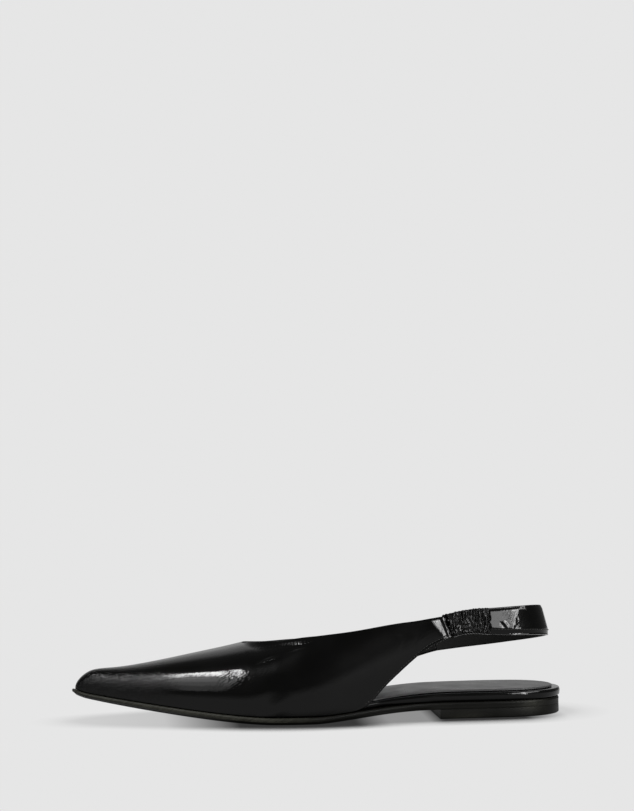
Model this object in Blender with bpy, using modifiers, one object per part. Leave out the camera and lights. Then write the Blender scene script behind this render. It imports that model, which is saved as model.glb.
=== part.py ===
"""Left slingback shoe: a flat with a pointed toe, a low heel block and a strap gathered on elastic.

The toe points along -X, the outer side of the foot is -Y and the floor is Z = 0. Every piece is worked out
from the plan outline of the sole, the side profile of the sole and the cross-sections of the last.
"""

import math
from collections import namedtuple

import bmesh
import bpy
import numpy as np

for old in list(bpy.data.objects):
    bpy.data.objects.remove(old)

MM = 0.001

# Driving dimensions of the shoe
LENGTH = 270 * MM
BALL_WIDTH = 80 * MM
INSTEP = 42 * MM
TOE_SPRING = 14.5 * MM
TIP_LIFT = 1.1 * MM
HEEL_LIFT = 5.2 * MM

# Places along the shoe, measured from the middle of its length
TIP = -127 * MM
TREAD_FRONT = -27 * MM
TREAD_BACK = -3 * MM
WAIST = 35 * MM
BREAST = 65 * MM
THROAT = -41.5 * MM
WING_END_TOP = 66.5 * MM
WING_END_FOOT = 70.5 * MM

# The foot bed comes out from under the upper and thickens towards the heel
BED_EMERGES = 30 * MM
BED_FLUSH = 60 * MM
BED_THICKENS = -10 * MM
BED_THICK = 75 * MM
BED_TIP_BACK = -100 * MM
BED_TIP = -125 * MM

# Thicknesses and clearances
GAP = 0.3 * MM
SOLE = 3.8 * MM
SOLE_TIP = 2.6 * MM
WELT = 1.7 * MM
WALL = 1.6 * MM
BED_FRONT = 2.2 * MM
BED_HEEL = 4.7 * MM
BED_CLEARANCE = 0.6 * MM
BED_TIP_CLEARANCE = 2.5 * MM
BED_OVERHANG = 0.7 * MM
SOCK = 1.0 * MM
SOCK_MARGIN = 2.4 * MM
SOCK_MARGIN_HEEL = 4.4 * MM
STRAP_WIDTH = 14.6 * MM
STRAP_THICK = 2.2 * MM
STRAP_CORNER = 0.7 * MM
GATHERS = 13
GATHER_DEPTH = 0.55 * MM

# Shape exponents of the side profile and of the last's cross-sections
TOE_CURVE = 1.5
ARCH_CURVE = 1.3
SECTION_WIDE = 0.9
SECTION_HIGH = 0.9

LATERAL, MEDIAL = -1, 1

# Colours
PATENT_BLACK = (0.006, 0.006, 0.006)
RUBBER_BLACK = (0.012, 0.012, 0.011)
SATIN_BLACK = (0.035, 0.035, 0.036)

# Plan outline of the sole: share of LENGTH from the toe, then half widths as shares of BALL_WIDTH
Outline = namedtuple("Outline", "station lateral medial")
OUTLINE = (
    Outline(0.000, 0.000, 0.000),
    Outline(0.015, 0.066, 0.066),
    Outline(0.048, 0.121, 0.124),
    Outline(0.111, 0.197, 0.204),
    Outline(0.204, 0.302, 0.312),
    Outline(0.296, 0.413, 0.416),
    Outline(0.370, 0.488, 0.466),
    Outline(0.441, 0.522, 0.478),
    Outline(0.519, 0.499, 0.434),
    Outline(0.593, 0.444, 0.370),
    Outline(0.667, 0.390, 0.320),
    Outline(0.741, 0.355, 0.308),
    Outline(0.815, 0.347, 0.327),
    Outline(0.889, 0.336, 0.328),
    Outline(0.944, 0.290, 0.287),
    Outline(0.981, 0.188, 0.188),
    Outline(1.000, 0.000, 0.000),
)

# Cross-sections of the last: rise of its ridge above the sole as a share of INSTEP, and the outward bulge of
# its sides as a share of BALL_WIDTH
Section = namedtuple("Section", "station rise bulge")
SECTIONS = (
    Section(0.000, 0.000, 0.000),
    Section(0.007, 0.132, 0.000),
    Section(0.031, 0.284, 0.004),
    Section(0.081, 0.375, 0.010),
    Section(0.178, 0.556, 0.024),
    Section(0.260, 0.720, 0.036),
    Section(0.337, 0.868, 0.048),
    Section(0.375, 0.945, 0.052),
    Section(0.415, 1.040, 0.058),
    Section(0.490, 1.220, 0.075),
    Section(0.565, 1.385, 0.092),
    Section(0.655, 1.610, 0.105),
    Section(0.745, 1.830, 0.105),
)

# Topline of the upper: place along X, then how far the last's cross-section is open there on each side, from
# 0 at its ridge to 1 at the sole
Opening = namedtuple("Opening", "x lateral medial")
TOPLINE = (
    Opening(THROAT, 0.000, 0.000),
    Opening(-36.0 * MM, 0.240, 0.340),
    Opening(-24.0 * MM, 0.405, 0.560),
    Opening(-8.0 * MM, 0.530, 0.690),
    Opening(18.0 * MM, 0.690, 0.800),
    Opening(41.0 * MM, 0.772, 0.857),
    Opening(54.0 * MM, 0.802, 0.875),
    Opening(67.0 * MM, 0.815, 0.891),
)

# Back edge of each wing, where it leaves the sole: place along X, then heights above the floor
Edge = namedtuple("Edge", "x lateral medial")
BACK_EDGE = (
    Edge(12.0 * MM, 4.4 * MM, 4.4 * MM),
    Edge(20.0 * MM, 6.8 * MM, 7.2 * MM),
    Edge(26.5 * MM, 10.4 * MM, 11.2 * MM),
    Edge(32.0 * MM, 16.2 * MM, 15.6 * MM),
    Edge(40.5 * MM, 24.3 * MM, 21.2 * MM),
    Edge(49.5 * MM, 32.0 * MM, 25.6 * MM),
    Edge(58.5 * MM, 38.6 * MM, 29.0 * MM),
    Edge(71.0 * MM, 44.3 * MM, 32.5 * MM),
)

# The strap behind the wings: share of its path from the outer wing, height of its middle, lean of its top
# inwards in degrees, and width. It begins and ends as the wings do.
Strap = namedtuple("Strap", "share height lean width")
STRAP_RUN = (
    Strap(0.09, 52.7 * MM, 10.0, 12.9 * MM),
    Strap(0.18, 52.6 * MM, 11.0, 14.5 * MM),
    Strap(0.32, 52.5 * MM, 13.0, 16.2 * MM),
    Strap(0.50, 50.1 * MM, 14.0, 16.8 * MM),
    Strap(0.66, 45.3 * MM, 13.0, 15.2 * MM),
    Strap(0.80, 42.4 * MM, 9.0, STRAP_WIDTH),
)
STRAP_BACK = 127.2 * MM
STRAP_ROUND = 22 * MM
STRAP_KNEE = 88 * MM
STRAP_DRAW = math.radians(11.5)
ELASTIC_SHARE = 0.172
RAKE_SHARE = 0.13

# Sides of the pieces that follow the sole's outline, from bottom to top: inset in front and at the heel, and
# share of the piece's height
Layer = namedtuple("Layer", "inset heel_inset rise")
OUTSOLE_SIDE = (
    Layer(2.2 * MM, 0.5 * MM, 0.00),
    Layer(0.9 * MM, 0.5 * MM, 0.29),
    Layer(0.1 * MM, 0.1 * MM, 0.40),
    Layer(0.0 * MM, 0.0 * MM, 0.76),
    Layer(0.5 * MM, 0.5 * MM, 1.00),
)
HEEL_SIDE = (
    Layer(0.5 * MM, 0.5 * MM, 0.00),
    Layer(0.0 * MM, 0.0 * MM, 0.10),
    Layer(0.5 * MM, 0.5 * MM, 1.00),
)
BED_SIDE = (
    Layer(1.3 * MM, 1.3 * MM, 0.00),
    Layer(0.3 * MM, 0.3 * MM, 0.14),
    Layer(0.0 * MM, 0.0 * MM, 0.66),
    Layer(0.45 * MM, 0.45 * MM, 0.96),
    Layer(1.1 * MM, 1.1 * MM, 1.00),
)
SOCK_SIDE = (
    Layer(0.0 * MM, 0.0 * MM, 0.00),
    Layer(0.0 * MM, 0.0 * MM, 0.60),
    Layer(0.5 * MM, 0.5 * MM, 1.00),
)

# Fineness of the meshes
SOLE_STATIONS = 46
HEEL_STATIONS = 18
TOE_ROWS, TOE_CROWDING = 18, 1.6
WING_ROWS, THROAT_CROWDING = 24, 1.9
UPPER_COLUMNS = 11
STRAP_STATIONS = 44
GATHER_STATIONS = 4
SHARP_ANGLE = math.radians(35)
CURVE_SAMPLES = 721
PATH_STEP = 0.004


def spline(table, column, key):
    """A natural cubic spline through one column of a table."""
    xs = np.array([key(row) for row in table], float)
    ys = np.array([getattr(row, column) for row in table], float)
    steps = np.diff(xs)
    rises = np.diff(ys) / steps
    system, jumps = np.eye(len(xs)), np.zeros(len(xs))
    for i in range(1, len(steps)):
        system[i, i - 1:i + 2] = steps[i - 1], 2 * (steps[i - 1] + steps[i]), steps[i]
        jumps[i] = 6 * (rises[i] - rises[i - 1])
    bends = np.linalg.solve(system, jumps)

    def curve(x):
        x = np.clip(x, xs[0], xs[-1])
        i = np.clip(np.searchsorted(xs, x) - 1, 0, len(steps) - 1)
        after = (x - xs[i]) / steps[i]
        before = 1 - after
        bow = (before**3 - before) * bends[i] + (after**3 - after) * bends[i + 1]
        return before * ys[i] + after * ys[i + 1] + bow * steps[i] ** 2 / 6

    return curve


def turn(station):
    """Angle of a station on a half circle over the length, which rounds off toe and heel."""
    return np.arccos(1 - 2 * np.clip(station, 0, 1))


def smoothstep(x, low, high):
    t = np.clip((x - low) / (high - low), 0, 1)
    return t * t * (3 - 2 * t)


SIDES = ((LATERAL, "lateral"), (MEDIAL, "medial"))
BY_TURN = {side: spline(OUTLINE, name, lambda row: turn(row.station)) for side, name in SIDES}
RISE = spline(SECTIONS, "rise", lambda row: turn(row.station))
BULGE = spline(SECTIONS, "bulge", lambda row: turn(row.station))


def sole_bottom(x):
    """Height of the sole's underside: toe spring, flat tread, arch and heel seat."""
    toe = np.clip((TREAD_FRONT - x) / (TREAD_FRONT + LENGTH / 2), 0, 1)
    tip = np.clip((TIP - x) / (TIP + LENGTH / 2), 0, 1)
    arch = np.clip((x - TREAD_BACK) / (BREAST - TREAD_BACK), 0, 1)
    front = TOE_SPRING * toe**TOE_CURVE + TIP_LIFT * tip**TOE_CURVE
    return front + HEEL_LIFT * np.sin(arch * math.pi / 2) ** ARCH_CURVE


def sole_top(x):
    toe = np.clip((TREAD_FRONT - x) / (TREAD_FRONT + LENGTH / 2), 0, 1)
    return sole_bottom(x) + SOLE + (SOLE_TIP - SOLE) * toe**3


def behind_throat(x):
    """Square root of the distance behind the throat, which rounds off the throat's point."""
    return np.sqrt(np.maximum(x - THROAT, 0))


def last_turn(x):
    """Place along the last, which starts a welt's width behind the tip of the sole."""
    return turn((x + LENGTH / 2 - WELT) / LENGTH)


def ridge(x):
    """Height of the last's ridge above the sole."""
    return INSTEP * RISE(last_turn(x))


TOP = {side: spline(TOPLINE, name, lambda row: behind_throat(row.x)) for side, name in SIDES}
BACK = {side: spline(BACK_EDGE, name, lambda row: row.x) for side, name in SIDES}


def edge_curve(inset, side):
    """X and half width along one side of the outline, moved inwards by inset, from toe to heel."""
    angle = np.linspace(0, math.pi, CURVE_SAMPLES)
    x = -LENGTH / 2 * np.cos(angle)
    y = BALL_WIDTH * BY_TURN[side](angle)
    dx, dy = np.gradient(x), np.gradient(y)
    size = np.hypot(dx, dy)
    depth = inset(x)
    x, y = x + dy / size * depth, y - dx / size * depth
    inside = np.flatnonzero(y > 1e-6)
    keep = np.arange(inside[0], inside[-1] + 1)
    keep = keep[np.concatenate([[True], np.diff(x[keep]) > 1e-9])]
    return x[keep], y[keep]


def upper_foot(x):
    """The upper stands a welt's width inside the sole's outline."""
    return np.full_like(x, WELT)


def half_width(x, side):
    """Half width of the upper's foot at x on one side."""
    return np.interp(x, *edge_curve(upper_foot, side))


def outline_ring(inset, count, front=None):
    """Points of the outline from toe to heel on the outer side, and back on the inner side."""
    curves = {side: edge_curve(inset, side) for side in (LATERAL, MEDIAL)}
    low = min(xs[0] for xs, _ in curves.values()) if front is None else front
    high = max(xs[-1] for xs, _ in curves.values())
    share = np.linspace(0 if front is None else 0.5, 1, count)
    start = low if front is None else 2 * low - high
    x = start + (high - start) * (1 - np.cos(math.pi * share)) / 2
    outer = np.stack([x, -np.interp(x, *curves[LATERAL])], 1)
    inner = np.stack([x, np.interp(x, *curves[MEDIAL])], 1)
    outer[-1, 1] = inner[-1, 1] = 0
    if front is None:
        outer[0, 1] = inner[0, 1] = 0
    return outer, inner


def new_object(name, mesh_builder, material):
    mesh = bpy.data.meshes.new(name)
    build = bmesh.new()
    mesh_builder(build)
    bmesh.ops.remove_doubles(build, verts=build.verts, dist=1e-6)
    build.to_mesh(mesh)
    build.free()
    mesh.shade_smooth()
    mesh.set_sharp_from_angle(angle=SHARP_ANGLE)
    mesh.materials.append(material)
    obj = bpy.data.objects.new(name, mesh)
    PARTS.objects.link(obj)
    obj.parent = ROOT
    return obj


def layered_solid(name, layers, inset, bottom, top, material, count=SOLE_STATIONS, front=None):
    """A solid with the sole's outline, whose side runs up through layers between its bottom and its top."""

    def ring(build, layer):
        def layer_inset(x):
            return inset(x) + layer.inset + (layer.heel_inset - layer.inset) * smoothstep(x, WAIST, BREAST)

        rows = []
        for points in outline_ring(layer_inset, count, front):
            low, high = bottom(points[:, 0]), top(points[:, 0])
            heights = low + (high - low) * layer.rise
            rows.append([build.verts.new((*point, height)) for point, height in zip(points, heights)])
        return rows

    def fill(build):
        rings = [ring(build, layer) for layer in layers]
        for (outer, inner), (outer_up, inner_up) in zip(rings, rings[1:]):
            for i in range(count - 1):
                build.faces.new((outer[i], outer[i + 1], outer_up[i + 1], outer_up[i]))
                build.faces.new((inner[i + 1], inner[i], inner_up[i], inner_up[i + 1]))
            if front is not None:
                build.faces.new((inner[0], outer[0], outer_up[0], inner_up[0]))
        for (outer, inner), order in ((rings[0], 1), (rings[-1], -1)):
            for i in range(count - 1):
                build.faces.new((outer[i], inner[i], inner[i + 1], outer[i + 1])[::order])

    return new_object(name, fill, material)


def make_outsole():
    """Thin sole with a lip at its top edge and an undercut below, which closes up under the heel."""
    return layered_solid("outsole", OUTSOLE_SIDE, np.zeros_like, sole_bottom, sole_top, rubber("sole_rubber"))


def make_heel():
    """Low heel block under the back of the sole, a little wider at the floor."""
    return layered_solid("heel", HEEL_SIDE, np.zeros_like, np.zeros_like, lambda x: sole_bottom(x) - GAP,
                         rubber("heel_rubber"), HEEL_STATIONS, BREAST)


def bed_inset(x):
    """Clear of the upper's wall in front, out over the sole's edge where the foot bed shows."""
    inside = WELT + WALL + BED_CLEARANCE + BED_TIP_CLEARANCE * smoothstep(-x, -BED_TIP_BACK, -BED_TIP)
    return inside - (inside + BED_OVERHANG) * smoothstep(x, BED_EMERGES, BED_FLUSH)


def bed_bottom(x):
    return sole_top(x) + GAP


def bed_top(x):
    return bed_bottom(x) + BED_FRONT + (BED_HEEL - BED_FRONT) * smoothstep(x, BED_THICKENS, BED_THICK)


def sock_bottom(x):
    return bed_top(x) + GAP


def make_insole():
    """Covered foot bed: hidden in the upper in front, a rounded rim at the waist and heel."""
    return layered_solid("insole", BED_SIDE, bed_inset, bed_bottom, bed_top, leather("insole_leather"))


def make_sock():
    """Sock lining on the foot bed, set in from its rim."""

    def inset(x):
        widening = (SOCK_MARGIN_HEEL - SOCK_MARGIN) * smoothstep(x, BED_EMERGES, BED_FLUSH)
        return bed_inset(x) + SOCK_MARGIN + widening

    satin = material("sock_leather", SATIN_BLACK, roughness=0.4)
    return layered_solid("sock", SOCK_SIDE, inset, sock_bottom, lambda x: sock_bottom(x) + SOCK, satin)


def last_point(x, angle, side):
    """Point of the last's outer surface at x: angle 0 at the sole's edge, a quarter turn at the ridge."""
    bulge = BALL_WIDTH * BULGE(last_turn(x))
    wide = half_width(x, side) * np.cos(angle) ** SECTION_WIDE + bulge * np.sin(2 * angle) / 2
    high = sole_top(x) + GAP + ridge(x) * np.sin(angle) ** SECTION_HIGH
    return np.stack(np.broadcast_arrays(x, side * wide, high), -1)


def angle_at(x, height):
    """Angle on the last's cross-section at x that has this height above the floor."""
    share = (height - sole_top(x) - GAP) / ridge(x)
    return np.arcsin(np.clip(share, 0, 1) ** (1 / SECTION_HIGH))


def wing_row(share, side):
    """A row of points up one wing, from the sole or the back edge to the topline."""
    foot = THROAT + (WING_END_FOOT - THROAT) * share
    top = THROAT + (WING_END_TOP - THROAT) * share
    low = angle_at(foot, BACK[side](foot))
    high = np.arccos(TOP[side](behind_throat(top)))
    up = np.linspace(0, 1, UPPER_COLUMNS)
    return last_point(foot + (top - foot) * up, low + (high - low) * up, side)


def make_upper():
    """One shell from toe to both wing ends, open at the throat and under the foot."""

    def fill(build):
        tip = edge_curve(upper_foot, LATERAL)[0][0]
        toe_shares = np.linspace(0, 1, TOE_ROWS) ** TOE_CROWDING
        wing_shares = np.linspace(0, 1, WING_ROWS) ** THROAT_CROWDING
        up = np.linspace(0, math.pi / 2, UPPER_COLUMNS)
        for side in (LATERAL, MEDIAL):
            rows = [last_point(tip + (THROAT - tip) * share, up, side) for share in toe_shares[:-1]]
            rows[0][:, 1:] = 0, rows[0][0, 2]
            rows += [wing_row(share, side) for share in wing_shares]
            grid = [[build.verts.new(p) for p in row] for row in rows]
            for row, after in zip(grid, grid[1:]):
                for k in range(UPPER_COLUMNS - 1):
                    build.faces.new((row[k], after[k], after[k + 1], row[k + 1])[::-side])

    upper = new_object("upper", fill, leather("upper_leather"))
    shell = upper.modifiers.new("wall", "SOLIDIFY")
    shell.thickness = WALL
    shell.offset = -1
    shell.use_even_offset = False
    return upper


def wing_end(side):
    """Middle of a wing's end, half a wall inside its outer face, with its lean inwards and its width."""
    row = wing_row(1.0, side)
    _, inwards, upwards = row[-1] - row[0]
    lean = math.degrees(math.atan2(-side * inwards, upwards))
    middle = (row[0] + row[-1]) / 2 - np.array([0, side * WALL / 2, 0])
    return middle, lean, math.hypot(inwards, upwards)


def strap_row(share, side):
    """Height, lean and width of the strap where it meets a wing."""
    middle, lean, width = wing_end(side)
    return Strap(share, middle[2], lean, width)


def strap_path():
    """Plan of the strap from the outer wing round the heel to the inner wing, by share of its length: its sides
    draw in from the wings and run into a round back."""
    swing = np.linspace(STRAP_DRAW - math.pi / 2, math.pi / 2 - STRAP_DRAW, CURVE_SAMPLES)
    back = STRAP_ROUND * np.stack([np.cos(swing), np.sin(swing)], 1) + [STRAP_BACK - STRAP_ROUND, 0]
    run = np.linspace(0, 1, CURVE_SAMPLES)[:-1, None]
    sides = []
    for side, end in ((LATERAL, back[0]), (MEDIAL, back[-1])):
        start = wing_end(side)[0][:2]
        knee = np.array([STRAP_KNEE, end[1] + side * (end[0] - STRAP_KNEE) * math.tan(STRAP_DRAW)])
        sides.append((1 - run) ** 2 * start + 2 * run * (1 - run) * knee + run**2 * end)
    path = np.concatenate([sides[0], back, sides[1][::-1]])
    length = np.concatenate([[0], np.cumsum(np.linalg.norm(np.diff(path, axis=0), axis=1))])
    return path, length / length[-1]


def strap_frames(shares):
    """Middle point, outward normal, upward direction and width of the strap at these shares of its path."""
    path, along = strap_path()
    run = [strap_row(0.0, LATERAL), *STRAP_RUN, strap_row(1.0, MEDIAL)]
    height, lean, width = (spline(run, name, lambda row: row.share) for name in ("height", "lean", "width"))
    slant = WING_END_FOOT - WING_END_TOP
    outer_rake, inner_rake = slant / width(0.0), slant / width(1.0)
    frames = []
    for share in shares:
        behind, point, ahead = (np.array([np.interp(at, along, path[:, k]) for k in (0, 1)])
                                for at in (share - PATH_STEP, share, share + PATH_STEP))
        forward = np.array([*(ahead - behind), 0]) / np.linalg.norm(ahead - behind)
        out = np.array([forward[1], -forward[0], 0])
        tilt = math.radians(float(lean(share)))
        near_outer, near_inner = smoothstep(np.array([1 - share, share]), 1 - RAKE_SHARE, 1)
        shear = inner_rake * near_inner - outer_rake * near_outer
        up = np.array([0, 0, math.cos(tilt)]) - math.sin(tilt) * out + shear * forward
        normal = math.cos(tilt) * out + np.array([0, 0, math.sin(tilt)])
        middle = np.array([*point, float(height(share))])
        frames.append((middle, normal, up, float(width(share))))
    return frames


def band(build, shares, thickness, widening):
    """A strip with rounded edges along the strap's path."""
    rings = []
    for (middle, normal, up, width), thick, wider in zip(strap_frames(shares), thickness, widening):
        half, tall = thick / 2, (width + wider) / 2
        flat, side = half - STRAP_CORNER, tall - STRAP_CORNER
        section = [(half, -side), (half, 0), (half, side), (flat, tall), (-flat, tall),
                   (-half, side), (-half, 0), (-half, -side), (-flat, -tall), (flat, -tall)]
        rings.append([build.verts.new(middle + normal * a + up * b) for a, b in section])
    for ring, after in zip(rings, rings[1:]):
        for k in range(len(ring)):
            following = (k + 1) % len(ring)
            build.faces.new((ring[k], after[k], after[following], ring[following]))
    build.faces.new(rings[0])
    build.faces.new(rings[-1][::-1])


def path_share(distance):
    path, _ = strap_path()
    return distance / np.linalg.norm(np.diff(path, axis=0), axis=1).sum()


def make_elastic():
    """Leather gathered in folds over elastic, between the outer wing and the back strap."""
    shares = np.linspace(path_share(GAP), ELASTIC_SHARE, GATHERS * GATHER_STATIONS + 1)
    fold = np.abs(np.sin(np.linspace(0, GATHERS * math.pi, len(shares))))
    thickness = STRAP_THICK + GATHER_DEPTH * 2 * fold
    widening = GATHER_DEPTH * fold
    leather_folds = leather("elastic_leather")
    return new_object("elastic", lambda build: band(build, shares, thickness, widening), leather_folds)


def make_strap():
    """Back strap from the elastic round the heel to the inner wing."""
    shares = np.linspace(ELASTIC_SHARE + path_share(GAP), 1 - path_share(GAP), STRAP_STATIONS)
    thickness = np.full(len(shares), STRAP_THICK)
    widening = np.zeros(len(shares))
    leather_strip = leather("strap_leather")
    return new_object("back_strap", lambda build: band(build, shares, thickness, widening), leather_strip)


def material(name, colour, roughness, coat=0.0):
    made = bpy.data.materials.new(name)
    made.use_nodes = True
    shader = made.node_tree.nodes["Principled BSDF"]
    shader.inputs["Base Color"].default_value = (*colour, 1)
    shader.inputs["Roughness"].default_value = roughness
    shader.inputs["Metallic"].default_value = 0.0
    shader.inputs["Coat Weight"].default_value = coat
    return made


def leather(name):
    return material(name, PATENT_BLACK, roughness=0.12, coat=0.6)


def rubber(name):
    return material(name, RUBBER_BLACK, roughness=0.45)


def centre_on_floor():
    """Moves the shoe so that the middle of its box is over the origin."""
    bpy.context.view_layer.update()
    graph = bpy.context.evaluated_depsgraph_get()
    corners = []
    for obj in PARTS.objects:
        if obj.type == "MESH":
            evaluated = obj.evaluated_get(graph)
            corners += [vertex.co[:] for vertex in evaluated.data.vertices]
    corners = np.array(corners)
    middle = (corners.min(0) + corners.max(0)) / 2
    ROOT.location = (-middle[0], -middle[1], -corners.min(0)[2])


PARTS = bpy.data.collections.new("slingback_shoe")
bpy.context.scene.collection.children.link(PARTS)
ROOT = bpy.data.objects.new("shoe", None)
PARTS.objects.link(ROOT)

make_outsole()
make_heel()
make_insole()
make_sock()
make_upper()
make_elastic()
make_strap()
centre_on_floor()
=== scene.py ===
"""Looks of the left slingback shoe: black crinkled patent leather on a pale floor, seen from its outer side.

Every piece follows the same outline, sections and strap path as the solids of the frame, with finer meshes,
rounded edges, creases, gathers and stitches. The toe points along -X and the outer side of the foot is -Y.
"""

import math
from collections import namedtuple

import bmesh
import bpy
import numpy as np
from mathutils import Matrix, Vector, noise


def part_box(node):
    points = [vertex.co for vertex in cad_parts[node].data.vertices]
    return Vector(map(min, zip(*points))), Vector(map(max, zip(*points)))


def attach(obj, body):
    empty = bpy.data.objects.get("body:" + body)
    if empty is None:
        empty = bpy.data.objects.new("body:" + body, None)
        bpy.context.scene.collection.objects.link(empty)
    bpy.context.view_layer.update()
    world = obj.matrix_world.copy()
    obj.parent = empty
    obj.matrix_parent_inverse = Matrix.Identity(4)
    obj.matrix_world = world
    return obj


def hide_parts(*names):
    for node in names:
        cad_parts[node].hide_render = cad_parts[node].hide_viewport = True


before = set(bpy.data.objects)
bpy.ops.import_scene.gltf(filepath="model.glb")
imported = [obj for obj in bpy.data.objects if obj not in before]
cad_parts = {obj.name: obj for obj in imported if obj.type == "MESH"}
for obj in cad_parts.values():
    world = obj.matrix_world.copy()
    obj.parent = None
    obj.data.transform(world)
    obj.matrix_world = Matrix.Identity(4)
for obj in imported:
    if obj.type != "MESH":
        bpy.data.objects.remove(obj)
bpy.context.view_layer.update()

MM = 0.001
LATERAL, MEDIAL = -1, 1


def table(kind, lengths, *rows):
    """Rows with named columns. The columns named in lengths are written in millimetres."""
    units = [MM if name in lengths else 1 for name in kind._fields]
    return tuple(kind(*(value * unit for value, unit in zip(row, units))) for row in rows)


# Driving dimensions of the shoe
LENGTH = 270 * MM
BALL_WIDTH = 80 * MM
INSTEP = 42 * MM
TOE_SPRING = 14.5 * MM
TIP_LIFT = 1.1 * MM
HEEL_LIFT = 5.2 * MM

# Places along the shoe, measured from the middle of its length
TIP = -127 * MM
TREAD_FRONT = -27 * MM
TREAD_BACK = -3 * MM
WAIST = 35 * MM
BREAST = 65 * MM
WING_END_TOP = 66.5 * MM
WING_END_FOOT = 70.5 * MM

# The foot bed comes out from under the upper and thickens towards the heel
BED_EMERGES = 30 * MM
BED_FLUSH = 60 * MM
BED_THICKENS = -10 * MM
BED_THICK = 75 * MM
BED_TIP_BACK = -100 * MM
BED_TIP = -125 * MM

# Thicknesses and clearances
GAP = 0.3 * MM
HEEL_SEAM = 0.02 * MM
SOLE = 3.8 * MM
SOLE_TIP = 2.6 * MM
WELT = 1.7 * MM
WALL = 1.6 * MM
BED_FRONT = 2.2 * MM
BED_HEEL = 4.7 * MM
BED_CLEARANCE = 0.6 * MM
BED_TIP_CLEARANCE = 2.5 * MM
BED_OVERHANG = 0.7 * MM
SOCK = 1.0 * MM
SOCK_MARGIN = 2.4 * MM
SOCK_MARGIN_HEEL = 4.4 * MM
STRAP_THICK = 2.2 * MM
STRAP_CORNER = 0.7 * MM
GATHERS = 13
GATHER_DEPTH = 0.55 * MM

# Shape exponents of the side profile and of the last's cross-sections
TOE_CURVE = 1.5
ARCH_CURVE = 1.3
SECTION_WIDE = 0.9
SECTION_HIGH = 0.9

# Plan outline of the sole: share of LENGTH from the toe, then half widths as shares of BALL_WIDTH
Outline = namedtuple("Outline", "station lateral medial")
OUTLINE = table(
    Outline, (),
    (0.000, 0.000, 0.000),
    (0.015, 0.066, 0.066),
    (0.048, 0.121, 0.124),
    (0.111, 0.197, 0.204),
    (0.204, 0.302, 0.312),
    (0.296, 0.413, 0.416),
    (0.370, 0.488, 0.466),
    (0.441, 0.522, 0.478),
    (0.519, 0.499, 0.434),
    (0.593, 0.444, 0.370),
    (0.667, 0.390, 0.320),
    (0.741, 0.355, 0.308),
    (0.815, 0.347, 0.327),
    (0.889, 0.336, 0.328),
    (0.944, 0.290, 0.287),
    (0.981, 0.188, 0.188),
    (1.000, 0.000, 0.000),
)

# Cross-sections of the last: rise of its ridge above the sole as a share of INSTEP, and the outward bulge of
# its sides as a share of BALL_WIDTH
Section = namedtuple("Section", "station rise bulge")
SECTIONS = table(
    Section, (),
    (0.000, 0.000, 0.000),
    (0.007, 0.132, 0.000),
    (0.031, 0.284, 0.004),
    (0.081, 0.375, 0.010),
    (0.178, 0.556, 0.024),
    (0.260, 0.720, 0.036),
    (0.337, 0.868, 0.048),
    (0.375, 0.945, 0.052),
    (0.415, 1.040, 0.058),
    (0.490, 1.220, 0.075),
    (0.565, 1.385, 0.092),
    (0.655, 1.610, 0.105),
    (0.745, 1.830, 0.105),
)

# Topline of the upper from the throat back: place along X, then how far the last's cross-section is open on
# each side, from 0 at its ridge to 1 at the sole
Edge = namedtuple("Edge", "x lateral medial")
TOPLINE = table(
    Edge, ("x",),
    (-41.5, 0.000, 0.000),
    (-36.0, 0.240, 0.340),
    (-24.0, 0.405, 0.560),
    (-8.0, 0.530, 0.690),
    (18.0, 0.690, 0.800),
    (41.0, 0.772, 0.857),
    (54.0, 0.802, 0.875),
    (67.0, 0.815, 0.891),
)
THROAT = TOPLINE[0].x

# Back edge of each wing, where it leaves the sole: place along X, then heights above the floor
BACK_EDGE = table(
    Edge, ("x", "lateral", "medial"),
    (12.0, 4.4, 4.4),
    (20.0, 6.8, 7.2),
    (26.5, 10.4, 11.2),
    (32.0, 16.2, 15.6),
    (40.5, 24.3, 21.2),
    (49.5, 32.0, 25.6),
    (58.5, 38.6, 29.0),
    (71.0, 44.3, 32.5),
)

# The strap behind the wings: share of its path from the outer wing, height of its middle, lean of its top
# inwards in degrees, and width. It begins and ends as the wings do.
Strap = namedtuple("Strap", "share height lean width")
STRAP_RUN = table(
    Strap, ("height", "width"),
    (0.09, 52.7, 10.0, 12.9),
    (0.18, 52.6, 11.0, 14.5),
    (0.32, 52.5, 13.0, 16.2),
    (0.50, 50.1, 14.0, 16.8),
    (0.66, 45.3, 13.0, 15.2),
    (0.80, 42.4, 9.0, 14.6),
)
STRAP_BACK = 127.2 * MM
STRAP_ROUND = 22 * MM
STRAP_KNEE = 88 * MM
STRAP_DRAW = math.radians(11.5)
ELASTIC_SHARE = 0.172
RAKE_SHARE = 0.13

# Sides of the pieces that follow the sole's outline, from bottom to top: inset in front and at the heel, and
# share of the piece's height
Layer = namedtuple("Layer", "inset heel_inset rise")
INSETS = ("inset", "heel_inset")
OUTSOLE_SIDE = table(
    Layer, INSETS,
    (6.0, 6.0, 0.00),
    (2.2, 0.1, 0.00),
    (0.9, 0.1, 0.29),
    (0.1, 0.1, 0.40),
    (0.0, 0.0, 0.76),
    (0.5, 0.5, 1.00),
    (5.0, 5.0, 1.00),
)
HEEL_SIDE = table(
    Layer, INSETS,
    (3.0, 3.0, 0.00),
    (0.5, 0.5, 0.00),
    (0.0, 0.0, 0.10),
    (0.1, 0.1, 1.00),
    (3.0, 3.0, 1.00),
)
BED_SIDE = table(
    Layer, INSETS,
    (4.0, 4.0, 0.00),
    (1.3, 1.3, 0.00),
    (0.3, 0.3, 0.14),
    (0.0, 0.0, 0.66),
    (0.45, 0.45, 0.96),
    (1.1, 1.1, 1.00),
    (5.0, 5.0, 1.00),
)
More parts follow.
